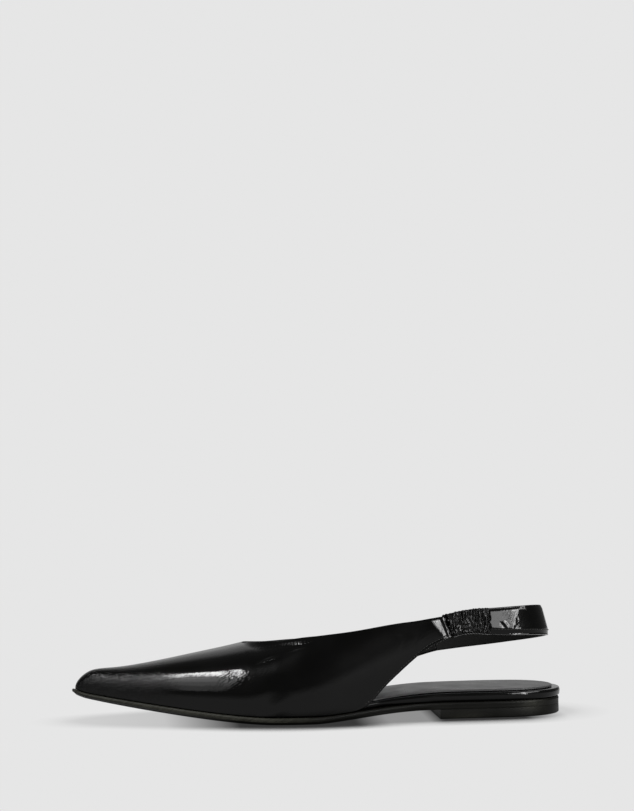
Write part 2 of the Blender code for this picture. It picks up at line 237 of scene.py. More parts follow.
SOCK_SIDE = table(
    Layer, INSETS,
    (2.0, 2.0, 0.00),
    (0.0, 0.0, 0.00),
    (0.0, 0.0, 0.60),
    (0.5, 0.5, 1.00),
    (3.0, 3.0, 1.00),
)

# Their corners are rounded with these radii, over this share of a side at most and in this many points
SOLE_CORNER = 0.2 * MM
HEEL_CORNER = 0.08 * MM
BED_CORNER = 0.5 * MM
SOCK_CORNER = 0.3 * MM
CORNER_SHARE = 0.45
CORNER_STEPS = 5

# Creases of the upper, placed in the side view: middle, half length, slope in degrees, half width and depth.
# A negative depth turns the trough to the upper side. They fade out towards the topline.
Crease = namedtuple("Crease", "side x z length slope width depth")
CREASE_LENGTHS = ("x", "z", "length", "width", "depth")
CREASES = table(
    Crease, CREASE_LENGTHS,
    (LATERAL, -48.0, 24.5, 7.5, 26, 2.3, -0.18),
    (LATERAL, -27.0, 11.0, 11.0, 50, 4.0, -0.30),
    (LATERAL, 3.0, 34.3, 6.0, 24, 0.8, 0.06),
    (LATERAL, -20.0, 27.2, 15.0, 6, 1.2, 0.05),
    (LATERAL, 44.0, 41.0, 6.0, 66, 1.0, 0.02),
    (LATERAL, 52.0, 45.0, 5.0, 72, 0.9, 0.02),
    (MEDIAL, -24.0, 30.0, 8.0, 14, 0.9, 0.09),
    (MEDIAL, -2.0, 27.0, 7.0, 26, 0.9, 0.07),
    (MEDIAL, 22.0, 29.0, 7.0, 50, 1.1, 0.07),
    (MEDIAL, 46.0, 35.0, 5.0, 62, 1.0, 0.06),
)
CREASE_TOP, CREASE_FULL = 0.5 * MM, 4 * MM

# Dents of the strap's outer face, by the distance behind the elastic and the height above the middle
STRAP_DENTS = table(Crease, CREASE_LENGTHS, (LATERAL, 8.0, -2.4, 3.2, -52, 0.8, 0.16))

# Places where the leather is crinkled, hatched or puckered, and where a painted sheen and a lighter line
# along the lower front edge lie on the heel's outer side, in the side view:
# middle, half length, half height and strength
Zone = namedtuple("Zone", "x z long high strength")
ZONE_LENGTHS = ("x", "z", "long", "high")
CRINKLED = table(
    Zone, ZONE_LENGTHS,
    (-47.0, 25.0, 6.0, 4.5, 0.35),
    (53.5, 51.8, 3.0, 2.0, 0.3),
    (42.1, 44.5, 2.5, 2.0, 0.25),
    (55.5, 43.8, 2.0, 2.0, 0.3),
    (47.0, 38.0, 3.0, 4.0, 0.12),
)
HATCHED = table(Zone, ZONE_LENGTHS, (-47.5, 24.6, 5.5, 4.0, 1.4))
PUCKERED = table(Zone, ZONE_LENGTHS, (-14.5, 43.0, 7.5, 3.0, 1.0), (-29.0, 34.8, 6.0, 4.0, 0.75))
# The heel's outer side gets a painted highlight for its sheen and a lighter line along its lower front edge
HEEL_SHEEN_AND_LINE = table(Zone, ZONE_LENGTHS, (116, 7.0, 6.0, 3.0, 0.8), (80, 1.0, 9.0, 0.6, 0.7))

# The sole's edge is painted lighter in front of the arch, for its rub wear and for the sheen of its lit band,
# but its lower rim is left dark as painted shade
WEAR_AND_SHEEN_FRONT, WEAR_AND_SHEEN_BACK = -28 * MM, 8 * MM
SHADED_RIM_LOW, SHADED_RIM_HIGH = 1.1 * MM, 1.9 * MM

# Strength of the crinkles outside the zones. The strap is smooth at the elastic, crinkled most this far
# behind it, and smooth again round the heel.
CRINKLE_LEVEL = 0.07
ELASTIC_CRINKLE = 0.12
RIM_CRINKLE = 0.06
STRAP_CRINKLE = 0.11
STRAP_CRINKLED = 17 * MM
STRAP_CRINKLE_REACH = 8 * MM

# The toe is grained in front of this stretch
GRAIN_FRONT, GRAIN_BACK = -100 * MM, -70 * MM

# Relief of the patent leather: its crinkles, which are slanted, drawn out and drift, its coarse and fine
# grain and its hatching
CRINKLE_SIZE = 1.0 * MM
CRINKLE_DEPTH = 0.30 * MM
CRINKLE_SLANT = math.radians(45)
CRINKLE_DRAWN = (0.25, 0.6, 1.0)
DRIFT = 4 * MM
DRIFT_SIZE = 7 * MM
GRAIN_SIZE = 0.7 * MM
GRAIN_DEPTH = 0.22 * MM
FINE_SIZE = 0.45 * MM
FINE_DEPTH = 0.010 * MM
HATCH_PITCH = 1.2 * MM
HATCH_DEPTH = 0.07 * MM
HATCH_SLANT = math.radians(30)
HATCH_WOBBLE = 0.8
WOBBLE_SIZE = 2.5 * MM
CLOUD_SIZE = 14 * MM

# Fine ridges in the leather below the topline: height above the floor at the shoe's middle and slope. The
# first is broken into beads.
Ridge = namedtuple("Ridge", "height slope")
BEAD_RIDGE = Ridge(44.9 * MM, 0.148)
PLAIN_RIDGE = Ridge(44.65 * MM, 0.342)
RIDGE_WIDTH = 0.8 * MM
RIDGE_DEPTH = 0.38 * MM
BEAD_PITCH = 1.7 * MM
BEAD_GAP, BEAD_FULL = 0.12, 0.3

# Finishes: the middle range of the textures, the clouds and spread of roughness in the plain leathers, the
# patent leather's roughness and blacks, and the streaks and colour of the rubber's painted wear and sheen
TEXTURE_MIDDLE = (0.3, 0.7)
ROUGHNESS_SPREAD = 0.06
GRAINED_CLOUD = 9 * MM
PATENT_ROUGHNESS = (0.22, 0.34)
PATENT_BLACKS = ((0.0006, 0.0006, 0.0005, 1), (0.0014, 0.0014, 0.0012, 1))
STREAK_SIZE = 1.0 * MM
STREAK_SLANT = math.radians(25)
STREAK_DRAWN = (0.2, 1, 1)
STREAK_LOW = 0.35
WORN_AND_LIT_COLOUR = (0.050, 0.050, 0.040, 1)

# The strap's face bends back below its row of stitches, and a little under its top edge. A bend is rounded
# over this share of its width.
STRAP_MARGIN = 2.7 * MM
STRAP_TOP_MARGIN = 1.2 * MM
STRAP_SLOPE = 0.28
BEND_SHARE = 0.22

# Beside the elastic the strap's face is tipped a little and its first edge is ragged. Past a slanted, ragged
# fold it falls inwards and comes back.
STRAP_TIP = 0.035
STRAP_TIPPED = 40 * MM
TOOTH = 1.4 * MM
TOOTH_SLOPE = 0.3
STRAP_FOLD = 15.0 * MM
STRAP_FOLD_SLANT = 0.45
STRAP_FOLD_SLOPE = 0.09
STRAP_FOLD_REACH = 9 * MM
STRAP_FOLD_RAGGED = 1.2 * MM
STRAP_SWELL = 0.06 * MM

# The elastic's folds sway and differ in height, carry finer folds, widen the strip and fade at its ends
FOLD_SWAY = 0.9
FOLD_UNEVEN = 0.7
FOLD_FINE = 0.25
FOLD_WIDENING = 0.5
FOLD_ENDS = 0.02

# The first fold of the elastic slopes on from the wing's seam up to a ragged line
FIRST_FOLD = 1.5 * MM
FIRST_FOLD_SLOPE = 0.32
FIRST_FOLD_SINK = 0.15 * MM
FIRST_FOLD_RISE = 1.2 * MM
FIRST_FOLD_LEVEL, FIRST_FOLD_RAGGED = 0.7, 1.3

# Noise on the strips: frequency along and across them, and seed. The elastic's goes by the share of its
# length, the strap's by the length, and that of the two ragged edges by one place along.
Ripple = namedtuple("Ripple", "along across seed")
SWAY_RIPPLE = Ripple(6, 1.4, 4.2)
UNEVEN_RIPPLE = Ripple(14, 4.5, 9.1)
FINE_RIPPLE = Ripple(34, 7, 2.7)
FIRST_FOLD_RIPPLE = Ripple(1.5, 9, 3.3)
TOOTH_RIPPLE = Ripple(2.5, 5, 8.1)
STRAP_RIPPLE = Ripple(1 / (16 * MM), 1, 5.5)
RAGGED_RIPPLE = Ripple(1 / (1.6 * MM), 4.375, 4.125)

# Broad swells of the leather: wavelength and height. They begin behind the tip of the toe.
SWELLS = ((26 * MM, 0.10 * MM), (9 * MM, 0.025 * MM))
SWELL_SEED = Vector((3.1, 7.7, 1.3))
SWELL_START = 12 * MM

# The wings dip towards their end seam over a width that shrinks downwards
SEAM_WIDTH_TOP = 6.6 * MM
SEAM_WIDTH_FOOT = 3.0 * MM
SEAM_SLOPE = 0.20

# Behind the throat the leather stands up to the topline, which rises a little on the outer side: where this
# lip and this rise begin, are full, fade and end, their width, the lip's slope and the fall below it
LIP_SPAN = np.array([-41, -35, -22, -6]) * MM
RISE_SPAN = np.array([-41.5, -38, -31, -20]) * MM
THROAT_RISE = 1.0 * MM
LIP_WIDTH = 6.5 * MM
LIP_SLOPE = 0.18
LIP_FALL = 24 * MM

# Near the wing's end the leather rolls inwards over this width below the topline
ROLL_START, ROLL_FULL = 44 * MM, 52 * MM
ROLL_WIDTH = 2.4 * MM
ROLL_DEPTH = 0.28 * MM

# The outer face turns into an edge with this radius, the inner face takes the rest of the wall. Towards the
# tip of the toe the wall is limited to a share of the half width. FAR stands for a place without an edge.
EDGE_ROUND = 0.35 * MM
END_ROUND = 0.25 * MM
TIP_WALL = 0.1 * MM
TIP_WALL_SHARE = 0.9
FAR = 1.0

# Elastic and strap run on under their neighbours as thin tongues. They are lined where their section faces
# inwards by at least this share.
TUCK = 1.6 * MM
TUCK_THIN = 0.35
LINED_SHARE = 0.9

# Stitches: threads that rise in the middle, taper and sink in at both ends, in a shallow groove. The first
# and last points of a line carry none.
STITCH_PITCH = 1.85 * MM
STITCH_LENGTH = 1.35 * MM
STITCH_RADIUS = 0.17 * MM
STITCH_INSET = 1.5 * MM
THREAD_RISE, THREAD_SINK, THREAD_TAPER = 0.4, 0.9, 0.98
THREAD_STATIONS, THREAD_SIDES = 7, 6
UNSTITCHED_START, UNSTITCHED_END = 4, 2
GROOVE_DEPTH = 0.10 * MM
GROOVE_WIDTH = 0.5 * MM

# Fineness of the meshes
SOLE_STATIONS = 150
HEEL_STATIONS = 70
TOE_ROWS, TOE_CROWDING = 104, 1.5
WING_ROWS, THROAT_CROWDING = 180, 1.7
MIDDLE_COLUMNS = 48
EDGE_STEPS = np.array([0.0, 0.04, 0.12, 0.25, 0.45, 0.7, 1.1]) * MM
STRAP_STATIONS = 260
GATHER_STATIONS = 18
FACE_POINTS, CORNER_POINTS = 19, 5
CURVE_SAMPLES = 721
ROW_SAMPLES = 240
PATH_STEP = 0.004
NARROWEST, CLOSEST = 1e-6, 1e-9
WELD = 0.005 * MM
SHARP_ANGLE = math.radians(50)

# Camera: turned towards the toe and a little above the floor, with the shoe low in a frame of 634 x 811
FRAME_HEIGHT = 811
CAMERA_TURN = math.radians(5)
CAMERA_RISE = math.radians(6)
CAMERA_ROLL = math.radians(0.7)
CAMERA_DISTANCE = 1500 * MM
CAMERA_AIM = Vector((0.2 * MM, 0, 25 * MM))
AIM_ROW = 670.57
FOCAL_PIXELS = 2696
SENSOR = 36

# Light: the floor and the wall behind the shoe are pale, the rest of the room is dim. The wall is bounded by
# directions: its foot is dimmer, it ends at a height, and its sides draw in towards the heel. A low glow lies
# along the horizon on the camera's side.
PALE = 0.791
WALL_LIGHT = 0.54
WALL_FOOT_LIGHT = 0.6
WALL_FOOT = math.sin(math.radians(18))
WALL_TOP = (math.sin(math.radians(58)), math.sin(math.radians(43)))
WALL_EDGE = (0.25, 0.5)
WALL_TURN = -1.2
ROOM_LIGHT = 0.11
HORIZON_LIGHT = 0.42
HORIZON_TOP = math.sin(math.radians(11))
HORIZON_EDGE = (0.1, -0.3)
FLOOR_LIGHT = 0.50
LIGHT_DISTANCE = 3.0

# Shadow on the floor: its reach, how much sky is open in its dark and clear parts, and what is left of the
# floor's light in it by the place along the shoe
FLOOR_SIZE = 60
FLOOR_DROP = 0.05 * MM
SHADOW_REACH = 30 * MM
SHADOW_SAMPLES = 24
SHADOW_DARK, SHADOW_CLEAR, SHADOW_CURVE = 0.74, 0.99, 1.4
FLOOR_SPAN = 400 * MM
Shade = namedtuple("Shade", "x left")
FLOOR_SHADE = table(
    Shade, ("x",),
    (-135, 0.80),
    (-85, 0.70),
    (-45, 0.05),
    (18, 0.05),
    (36, 0.35),
    (58, 0.35),
    (66, 0.05),
    (112, 0.05),
    (136, 0.80),
)

# Softboxes as seen from the shoe: direction, size and tilt in degrees, and radiance. Azimuth 0 is the outer
# side and 90 is behind the heel.
Softbox = namedtuple("Softbox", "name azimuth elevation width height tilt radiance")
SOFTBOXES = table(
    Softbox, (),
    ("left_key", -52.7, 56.4, 13.0, 2.8, -48, 42.0),
    ("left_glow_1", -53.0, 51.0, 14.0, 5.0, -38, 4.5),
    ("left_glow_2", -50, 42, 18.0, 9.0, 0, 3.8),
    ("left_glow_3", -50, 32.5, 22.0, 10.0, 0, 2.2),
    ("left_glow_4", -52, 22, 30.0, 11.0, 0, 1.2),
    ("right_box", 28.2, 24, 8.0, 12.0, 0, 7.0),
    ("right_low", 36.2, 17.0, 4.8, 26.0, 0, 18.0),
    ("right_high", 51, 31, 30.0, 10.0, 0, 10.0),
)


def spline(rows, column, key):
    """A natural cubic spline through one column of a table."""
    xs = np.array([key(row) for row in rows], float)
    ys = np.array([getattr(row, column) for row in rows], float)
    steps = np.diff(xs)
    rises = np.diff(ys) / steps
    system, jumps = np.eye(len(xs)), np.zeros(len(xs))
    for i in range(1, len(steps)):
        system[i, i - 1:i + 2] = steps[i - 1], 2 * (steps[i - 1] + steps[i]), steps[i]
        jumps[i] = 6 * (rises[i] - rises[i - 1])
    bends = np.linalg.solve(system, jumps)

    def curve(x):
        x = np.clip(x, xs[0], xs[-1])
        i = np.clip(np.searchsorted(xs, x) - 1, 0, len(steps) - 1)
        after = (x - xs[i]) / steps[i]
        before = 1 - after
        bow = (before**3 - before) * bends[i] + (after**3 - after) * bends[i + 1]
        return before * ys[i] + after * ys[i + 1] + bow * steps[i] ** 2 / 6

    return curve


def turn(station):
    """Angle of a station on a half circle over the length, which rounds off toe and heel."""
    return np.arccos(1 - 2 * np.clip(station, 0, 1))


def smoothstep(x, low, high):
    t = np.clip((x - low) / (high - low), 0, 1)
    return t * t * (3 - 2 * t)


def between(x, start, full, fades, end):
    """1 from full to fades, falling to 0 at start and end."""
    return smoothstep(x, start, full) * smoothstep(-x, -end, -fades)


def run_along(points, axis=0):
    """Distance of each point from the first one along an axis of a row or grid of points."""
    steps = np.linalg.norm(np.diff(points, axis=axis), axis=-1)
    pad = [(0, 0)] * steps.ndim
    pad[axis] = (1, 0)
    return np.pad(np.cumsum(steps, axis=axis), pad)


def read_along(wanted, run, points):
    """Points at the wanted distances along a row of points."""
    return np.stack([np.interp(wanted, run, column) for column in points.T], -1)


SIDES = ((LATERAL, "lateral"), (MEDIAL, "medial"))
BY_TURN = {side: spline(OUTLINE, name, lambda row: turn(row.station)) for side, name in SIDES}
RISE = spline(SECTIONS, "rise", lambda row: turn(row.station))
BULGE = spline(SECTIONS, "bulge", lambda row: turn(row.station))


def toe_share(x):
    """0 at the front of the tread and 1 at the tip of the toe."""
    return np.clip((TREAD_FRONT - x) / (TREAD_FRONT + LENGTH / 2), 0, 1)


def sole_bottom(x):
    """Height of the sole's underside: toe spring, flat tread, arch and heel seat."""
    tip = np.clip((TIP - x) / (TIP + LENGTH / 2), 0, 1)
    arch = np.clip((x - TREAD_BACK) / (BREAST - TREAD_BACK), 0, 1)
    front = TOE_SPRING * toe_share(x) ** TOE_CURVE + TIP_LIFT * tip**TOE_CURVE
    return front + HEEL_LIFT * np.sin(arch * math.pi / 2) ** ARCH_CURVE


def sole_top(x):
    return sole_bottom(x) + SOLE + (SOLE_TIP - SOLE) * toe_share(x) ** 3


def behind_throat(x):
    """Square root of the distance behind the throat, which rounds off the throat's point."""
    return np.sqrt(np.maximum(x - THROAT, 0))


def last_turn(x):
    """Place along the last, which starts a welt's width behind the tip of the sole."""
    return turn((x + LENGTH / 2 - WELT) / LENGTH)


def ridge(x):
    """Height of the last's ridge above the sole."""
    return INSTEP * RISE(last_turn(x))


TOP = {side: spline(TOPLINE, name, lambda row: behind_throat(row.x)) for side, name in SIDES}
BACK = {side: spline(BACK_EDGE, name, lambda row: row.x) for side, name in SIDES}


def edge_curve(inset, side):
    """X and half width along one side of the outline, moved inwards by inset, from toe to heel."""
    angle = np.linspace(0, math.pi, CURVE_SAMPLES)
    x = -LENGTH / 2 * np.cos(angle)
    y = BALL_WIDTH * BY_TURN[side](angle)
    dx, dy = np.gradient(x), np.gradient(y)
    size = np.hypot(dx, dy)
    depth = inset(x)
    x, y = x + dy / size * depth, y - dx / size * depth
    inside = np.flatnonzero(y > NARROWEST)
    keep = np.arange(inside[0], inside[-1] + 1)
    keep = keep[np.concatenate([[True], np.diff(x[keep]) > CLOSEST])]
    return x[keep], y[keep]


# The upper stands a welt's width inside the sole's outline
UPPER_FOOT = {side: edge_curve(lambda x: np.full_like(x, WELT), side) for side, _ in SIDES}


def last_point(x, angle, side):
    """Point of the last's outer surface at x: angle 0 at the sole's edge, a quarter turn at the ridge."""
    bulge = BALL_WIDTH * BULGE(last_turn(x))
    foot = np.interp(x, *UPPER_FOOT[side])
    wide = foot * np.cos(angle) ** SECTION_WIDE + bulge * np.sin(2 * angle) / 2
    high = sole_top(x) + GAP + ridge(x) * np.sin(angle) ** SECTION_HIGH
    return np.stack(np.broadcast_arrays(x, side * wide, high), -1)


def angle_at(x, height):
    """Angle on the last's cross-section at x that has this height above the floor."""
    share = (height - sole_top(x) - GAP) / ridge(x)
    return np.arcsin(np.clip(share, 0, 1) ** (1 / SECTION_HIGH))


def wing_row(share, side, up):
    """A row of points up one wing, from the sole or the back edge to the topline."""
    foot = THROAT + (WING_END_FOOT - THROAT) * share
    top = THROAT + (WING_END_TOP - THROAT) * share
    low = angle_at(foot, BACK[side](foot))
    high = np.arccos(TOP[side](behind_throat(top)))
    return last_point(foot + (top - foot) * up, low + (high - low) * up, side)


def wing_end(side):
    """Middle of a wing's end, half a wall inside its outer face, with its lean inwards and its width."""
    foot, top = wing_row(1.0, side, np.array([0.0, 1.0]))
    _, inwards, upwards = top - foot
    lean = math.degrees(math.atan2(-side * inwards, upwards))
    middle = (foot + top) / 2 - np.array([0, side * WALL / 2, 0])
    return middle, lean, math.hypot(inwards, upwards)


def strap_row(share, side):
    """Height, lean and width of the strap where it meets a wing."""
    middle, lean, width = wing_end(side)
    return Strap(share, middle[2], lean, width)


def strap_path():
    """Plan of the strap from the outer wing round the heel to the inner wing, with the distance along it: its
    sides draw in from the wings and run into a round back. It runs on straight past both ends."""
    swing = np.linspace(STRAP_DRAW - math.pi / 2, math.pi / 2 - STRAP_DRAW, CURVE_SAMPLES)
    back = STRAP_ROUND * np.stack([np.cos(swing), np.sin(swing)], 1) + [STRAP_BACK - STRAP_ROUND, 0]
    run = np.linspace(0, 1, CURVE_SAMPLES)[:-1, None]
    sides = []
    for side, end in ((LATERAL, back[0]), (MEDIAL, back[-1])):
        start = wing_end(side)[0][:2]
        knee = np.array([STRAP_KNEE, end[1] + side * (end[0] - STRAP_KNEE) * math.tan(STRAP_DRAW)])
        sides.append((1 - run) ** 2 * start + 2 * run * (1 - run) * knee + run**2 * end)
    path = np.concatenate([sides[0], back, sides[1][::-1]])
    length = run_along(path)
    before, after = path[0] - path[1], path[-1] - path[-2]
    path = np.concatenate([[path[0] + before / np.linalg.norm(before) * TUCK], path,
                           [path[-1] + after / np.linalg.norm(after) * TUCK]])
    return path, np.concatenate([[-TUCK], length, [length[-1] + TUCK]])


STRAP_PLAN, STRAP_REACH = strap_path()
STRAP_LENGTH = STRAP_REACH[-1] - TUCK


def strap_frames(shares):
    """Middles, outward normals, upward directions and widths of the strap at these shares of its path."""
    run = [strap_row(0.0, LATERAL), *STRAP_RUN, strap_row(1.0, MEDIAL)]
    height, lean, width = (spline(run, name, lambda row: row.share) for name in ("height", "lean", "width"))
    slant = WING_END_FOOT - WING_END_TOP
    outer_rake, inner_rake = slant / width(0.0), slant / width(1.0)
    plan, behind, ahead = (read_along((shares + step) * STRAP_LENGTH, STRAP_REACH, STRAP_PLAN)
                           for step in (0, -PATH_STEP, PATH_STEP))
    forward = ahead - behind
    forward = np.pad(forward / np.linalg.norm(forward, axis=1, keepdims=True), ((0, 0), (0, 1)))
    out = np.stack([forward[:, 1], -forward[:, 0], forward[:, 2]], 1)
    tilt = np.radians(lean(shares))[:, None]
    near_outer, near_inner = (smoothstep(near, 1 - RAKE_SHARE, 1) for near in (1 - shares, shares))
    shear = inner_rake * near_inner - outer_rake * near_outer
    upright = np.array([0, 0, 1.0])
    up = np.cos(tilt) * upright - np.sin(tilt) * out + shear[:, None] * forward
    normal = np.cos(tilt) * out + np.sin(tilt) * upright
    middle = np.concatenate([plan, height(shares)[:, None]], 1)
    return middle, normal, up, width(shares)


def place_in_frame():
    """Where the shoe's own origin lies in the frame: the sole is the widest and foremost piece."""
    low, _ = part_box("outsole")
    widest = BALL_WIDTH * BY_TURN[LATERAL](np.linspace(0, math.pi, CURVE_SAMPLES)).max()
    return Vector((low.x + LENGTH / 2, low.y + widest, 0))


ORIGIN = place_in_frame()


def grid_faces(rows, columns, start=0, closed=False, flip=False):
    """Quads of a grid of points, numbered from start, whose columns may close into rings."""
    index = start + np.arange(rows * columns).reshape(rows, columns)
    if closed:
        index = np.concatenate([index, index[:, :1]], 1)
    quads = np.stack([index[:-1, :-1], index[1:, :-1], index[1:, 1:], index[:-1, 1:]], -1).reshape(-1, 4)
    return quads[:, ::-1] if flip else quads


def new_piece(name, points, faces, materials, face_materials=None, node=None, marks=None):
    """A welded, smooth piece of the shoe that rides on its one body and may stand for a node of the frame.
    Marks are values of its points that its materials read."""
    mesh = bpy.data.meshes.new(name)
    mesh.from_pydata(np.asarray(points).tolist(), [], [list(map(int, face)) for face in faces])
    for material in materials:
        mesh.materials.append(material)
    if face_materials is not None:
        mesh.polygons.foreach_set("material_index", np.asarray(face_materials, np.int32))
    for mark, values in (marks or {}).items():
        mesh.attributes.new(mark, "FLOAT", "POINT").data.foreach_set("value", np.asarray(values, np.float32))
    weld = bmesh.new()
    weld.from_mesh(mesh)
    bmesh.ops.remove_doubles(weld, verts=weld.verts, dist=WELD)
    weld.to_mesh(mesh)
    weld.free()
    mesh.shade_smooth()
    mesh.set_sharp_from_angle(angle=SHARP_ANGLE)
    piece = bpy.data.objects.new(name, mesh)
    piece.location = ORIGIN
    bpy.context.scene.collection.objects.link(piece)
    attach(piece, "root")
    if node:
        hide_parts(node)


def rounded(layers, height, radius):
    """The layers of a side of about this height with their corners cut by short curves."""
    rows = np.array(layers, float)

    def towards(corner, other):
        length = math.hypot(other[0] - corner[0], (other[2] - corner[2]) * height)
        return corner + (other - corner) * min(CORNER_SHARE, radius / length)

    made = [rows[0]]
    for before, corner, after in zip(rows, rows[1:], rows[2:]):
        start, end = towards(corner, before), towards(corner, after)
        made += [(1 - t) ** 2 * start + 2 * t * (1 - t) * corner + t * t * end
                 for t in np.linspace(0, 1, CORNER_STEPS)]
    return [Layer(*row) for row in (*made, rows[-1])]


def outline_loop(inset, count, front=None):
    """Points of the outline from toe to heel on the outer side, and of the inner side, at the same places."""
    curves = {side: edge_curve(inset, side) for side in (LATERAL, MEDIAL)}
    low = min(xs[0] for xs, _ in curves.values()) if front is None else front
    high = max(xs[-1] for xs, _ in curves.values())
    share = np.linspace(0 if front is None else 0.5, 1, count)
    start = low if front is None else 2 * low - high
    x = start + (high - start) * (1 - np.cos(math.pi * share)) / 2
    outer = np.stack([x, -np.interp(x, *curves[LATERAL])], 1)
    inner = np.stack([x, np.interp(x, *curves[MEDIAL])], 1)
    outer[-1, 1] = inner[-1, 1] = 0
    if front is None:
        outer[0, 1] = inner[0, 1] = 0
    return outer, inner


def layered_piece(name, layers, inset, bottom, top, material, count=SOLE_STATIONS, front=None,
                  marks=None):
    """A piece with the sole's outline, whose side runs up through rounded layers between bottom and top."""
    rings = []
    for layer in layers:
        widening = layer.heel_inset - layer.inset
        outer, inner = outline_loop(
            lambda x: inset(x) + layer.inset + widening * smoothstep(x, WAIST, BREAST), count, front)
        ring = np.concatenate([outer, inner[::-1]])
        low, high = bottom(ring[:, 0]), top(ring[:, 0])
        rings.append(np.column_stack([ring, low + (high - low) * layer.rise]))
    around = 2 * count
    faces = [grid_faces(len(rings), around, closed=True, flip=True)]
    for start, flip in ((0, True), ((len(rings) - 1) * around, False)):
        near = start + np.arange(count)
        far = start + around - 1 - np.arange(count)
        strip_faces = np.stack([near[:-1], near[1:], far[1:], far[:-1]], 1)
        faces.append(strip_faces[:, ::-1] if flip else strip_faces)
    points = np.concatenate(rings)
    new_piece(name, points, np.concatenate(faces), [material], node=name,
              marks=marks(points) if marks else None)


def sole_wear_and_sheen(points):
    """How far sole and heel are painted lighter for wear and sheen, with the lower rim kept dark as painted
    shade.
    """
    x, y, z = points.T
    rubbed_and_lit = smoothstep(-x, -WEAR_AND_SHEEN_BACK, -WEAR_AND_SHEEN_FRONT)
    # Below this band the edge's lower rim keeps its dark colour as painted shade
    rubbed_and_lit = rubbed_and_lit * smoothstep(z - sole_bottom(x), SHADED_RIM_LOW, SHADED_RIM_HIGH)
    # On the outer side the heel gets a painted sheen and a lighter line
    return {"wear": rubbed_and_lit + np.where(y < 0, in_zones(points, HEEL_SHEEN_AND_LINE), 0)}


def make_outsole():
    layered_piece("outsole", rounded(OUTSOLE_SIDE, SOLE, SOLE_CORNER), np.zeros_like, sole_bottom, sole_top,
                  SOLE_FINISH, marks=sole_wear_and_sheen)


def make_heel():
    layered_piece("heel", rounded(HEEL_SIDE, HEEL_LIFT, HEEL_CORNER), np.zeros_like, np.zeros_like,
                  lambda x: sole_bottom(x) - HEEL_SEAM, SOLE_FINISH, HEEL_STATIONS, BREAST,
                  sole_wear_and_sheen)


def bed_inset(x):
    """Clear of the upper's wall in front, out over the sole's edge where the foot bed shows."""
    inside = WELT + WALL + BED_CLEARANCE + BED_TIP_CLEARANCE * smoothstep(-x, -BED_TIP_BACK, -BED_TIP)
    return inside - (inside + BED_OVERHANG) * smoothstep(x, BED_EMERGES, BED_FLUSH)


def bed_bottom(x):
    return sole_top(x) + GAP


def bed_top(x):
    return bed_bottom(x) + BED_FRONT + (BED_HEEL - BED_FRONT) * smoothstep(x, BED_THICKENS, BED_THICK)


def make_insole():
    layered_piece("insole", rounded(BED_SIDE, BED_HEEL, BED_CORNER), bed_inset, bed_bottom, bed_top, PATENT,
                  marks=lambda points: {"crinkle": np.full(len(points), RIM_CRINKLE)})


def sock_inset(x):
    widening = (SOCK_MARGIN_HEEL - SOCK_MARGIN) * smoothstep(x, BED_EMERGES, BED_FLUSH)
    return bed_inset(x) + SOCK_MARGIN + widening


def sock_bottom(x):
    return bed_top(x) + GAP


def make_sock():
    layered_piece("sock", rounded(SOCK_SIDE, SOCK, SOCK_CORNER), sock_inset, sock_bottom,
                  lambda x: sock_bottom(x) + SOCK, SATIN_WITH_PAINTED_SHEEN)


def resample(row):
    """A row of the upper with close points at both ends, where its edges are rounded."""
    length = run_along(row)
    edge = EDGE_STEPS * min(1, length[-1] / (4 * EDGE_STEPS[-1]))
    middle = np.linspace(edge[-1], length[-1] - edge[-1], MIDDLE_COLUMNS + 2)[1:-1]
    return read_along(np.concatenate([edge, middle, length[-1] - edge[::-1]]), length, row)


def upper_grid(side):
    """Points of one side of the upper's outer face: rows from the tip of the toe to the wing's end."""
    up = np.linspace(0, 1, ROW_SAMPLES)
    tip = UPPER_FOOT[side][0][0]
    toe = tip + (THROAT - tip) * np.linspace(0, 1, TOE_ROWS)[:-1] ** TOE_CROWDING
    reach = WING_END_TOP - THROAT
    shares = np.linspace(0, 1, WING_ROWS) ** THROAT_CROWDING * (1 - EDGE_STEPS[-1] / reach)
    shares = np.concatenate([shares[:-1], 1 - EDGE_STEPS[::-1] / reach])
    rows = [last_point(np.full(ROW_SAMPLES, x), up * math.pi / 2, side) for x in toe]
    rows += [wing_row(share, side, up) for share in shares]
    grid = np.array([resample(row) for row in rows])
    grid[0] = tip, 0, sole_top(tip) + GAP
    return grid


def grid_normals(grid, side):
    normal = side * np.cross(np.gradient(grid, axis=1), np.gradient(grid, axis=0))
    normal[:TOE_ROWS - 1, -1, 1] = 0
    normal[0] = -1, 0, 0
    return normal / np.linalg.norm(normal, axis=-1, keepdims=True)


def edge_distances(grid):
    """Distances from the foot, from the top edge or ridge, and from the wing's end."""
    from_foot = run_along(grid, axis=1)
    along = run_along(grid)
    return from_foot, from_foot[:, -1:] - from_foot, along[-1:] - along


def swell(points):
    """Broad, shallow swells of the leather."""
    flat = points.reshape(-1, 3)
    total = np.zeros(len(flat))
    for wavelength, height in SWELLS:
        total += height * np.array([noise.noise(Vector(p) / wavelength + SWELL_SEED) for p in flat])
    return total.reshape(points.shape[:-1])


def crease_relief(x, z, creases):
    """Soft troughs with a low ridge along their upper side."""
    total = np.zeros(np.broadcast(x, z).shape)
    for crease in creases:
        angle = math.radians(crease.slope)
        dx, dz = x - crease.x, z - crease.z
        along = (dx * math.cos(angle) + dz * math.sin(angle)) / crease.length
        across = (dz * math.cos(angle) - dx * math.sin(angle)) / crease.width
        fade = np.clip(1 - along**2, 0, 1) ** 2
        total += crease.depth * fade * (np.exp(-(across - 1) ** 2) - np.exp(-(across + 1) ** 2))
    return total


def in_zones(points, zones):
    """Summed strength of these zones at points of the shoe."""
    total = np.zeros(points.shape[:-1])
    for zone in zones:
        reach = np.hypot((points[..., 0] - zone.x) / zone.long, (points[..., 2] - zone.z) / zone.high)
        total += zone.strength * np.exp(-reach**2)
    return total


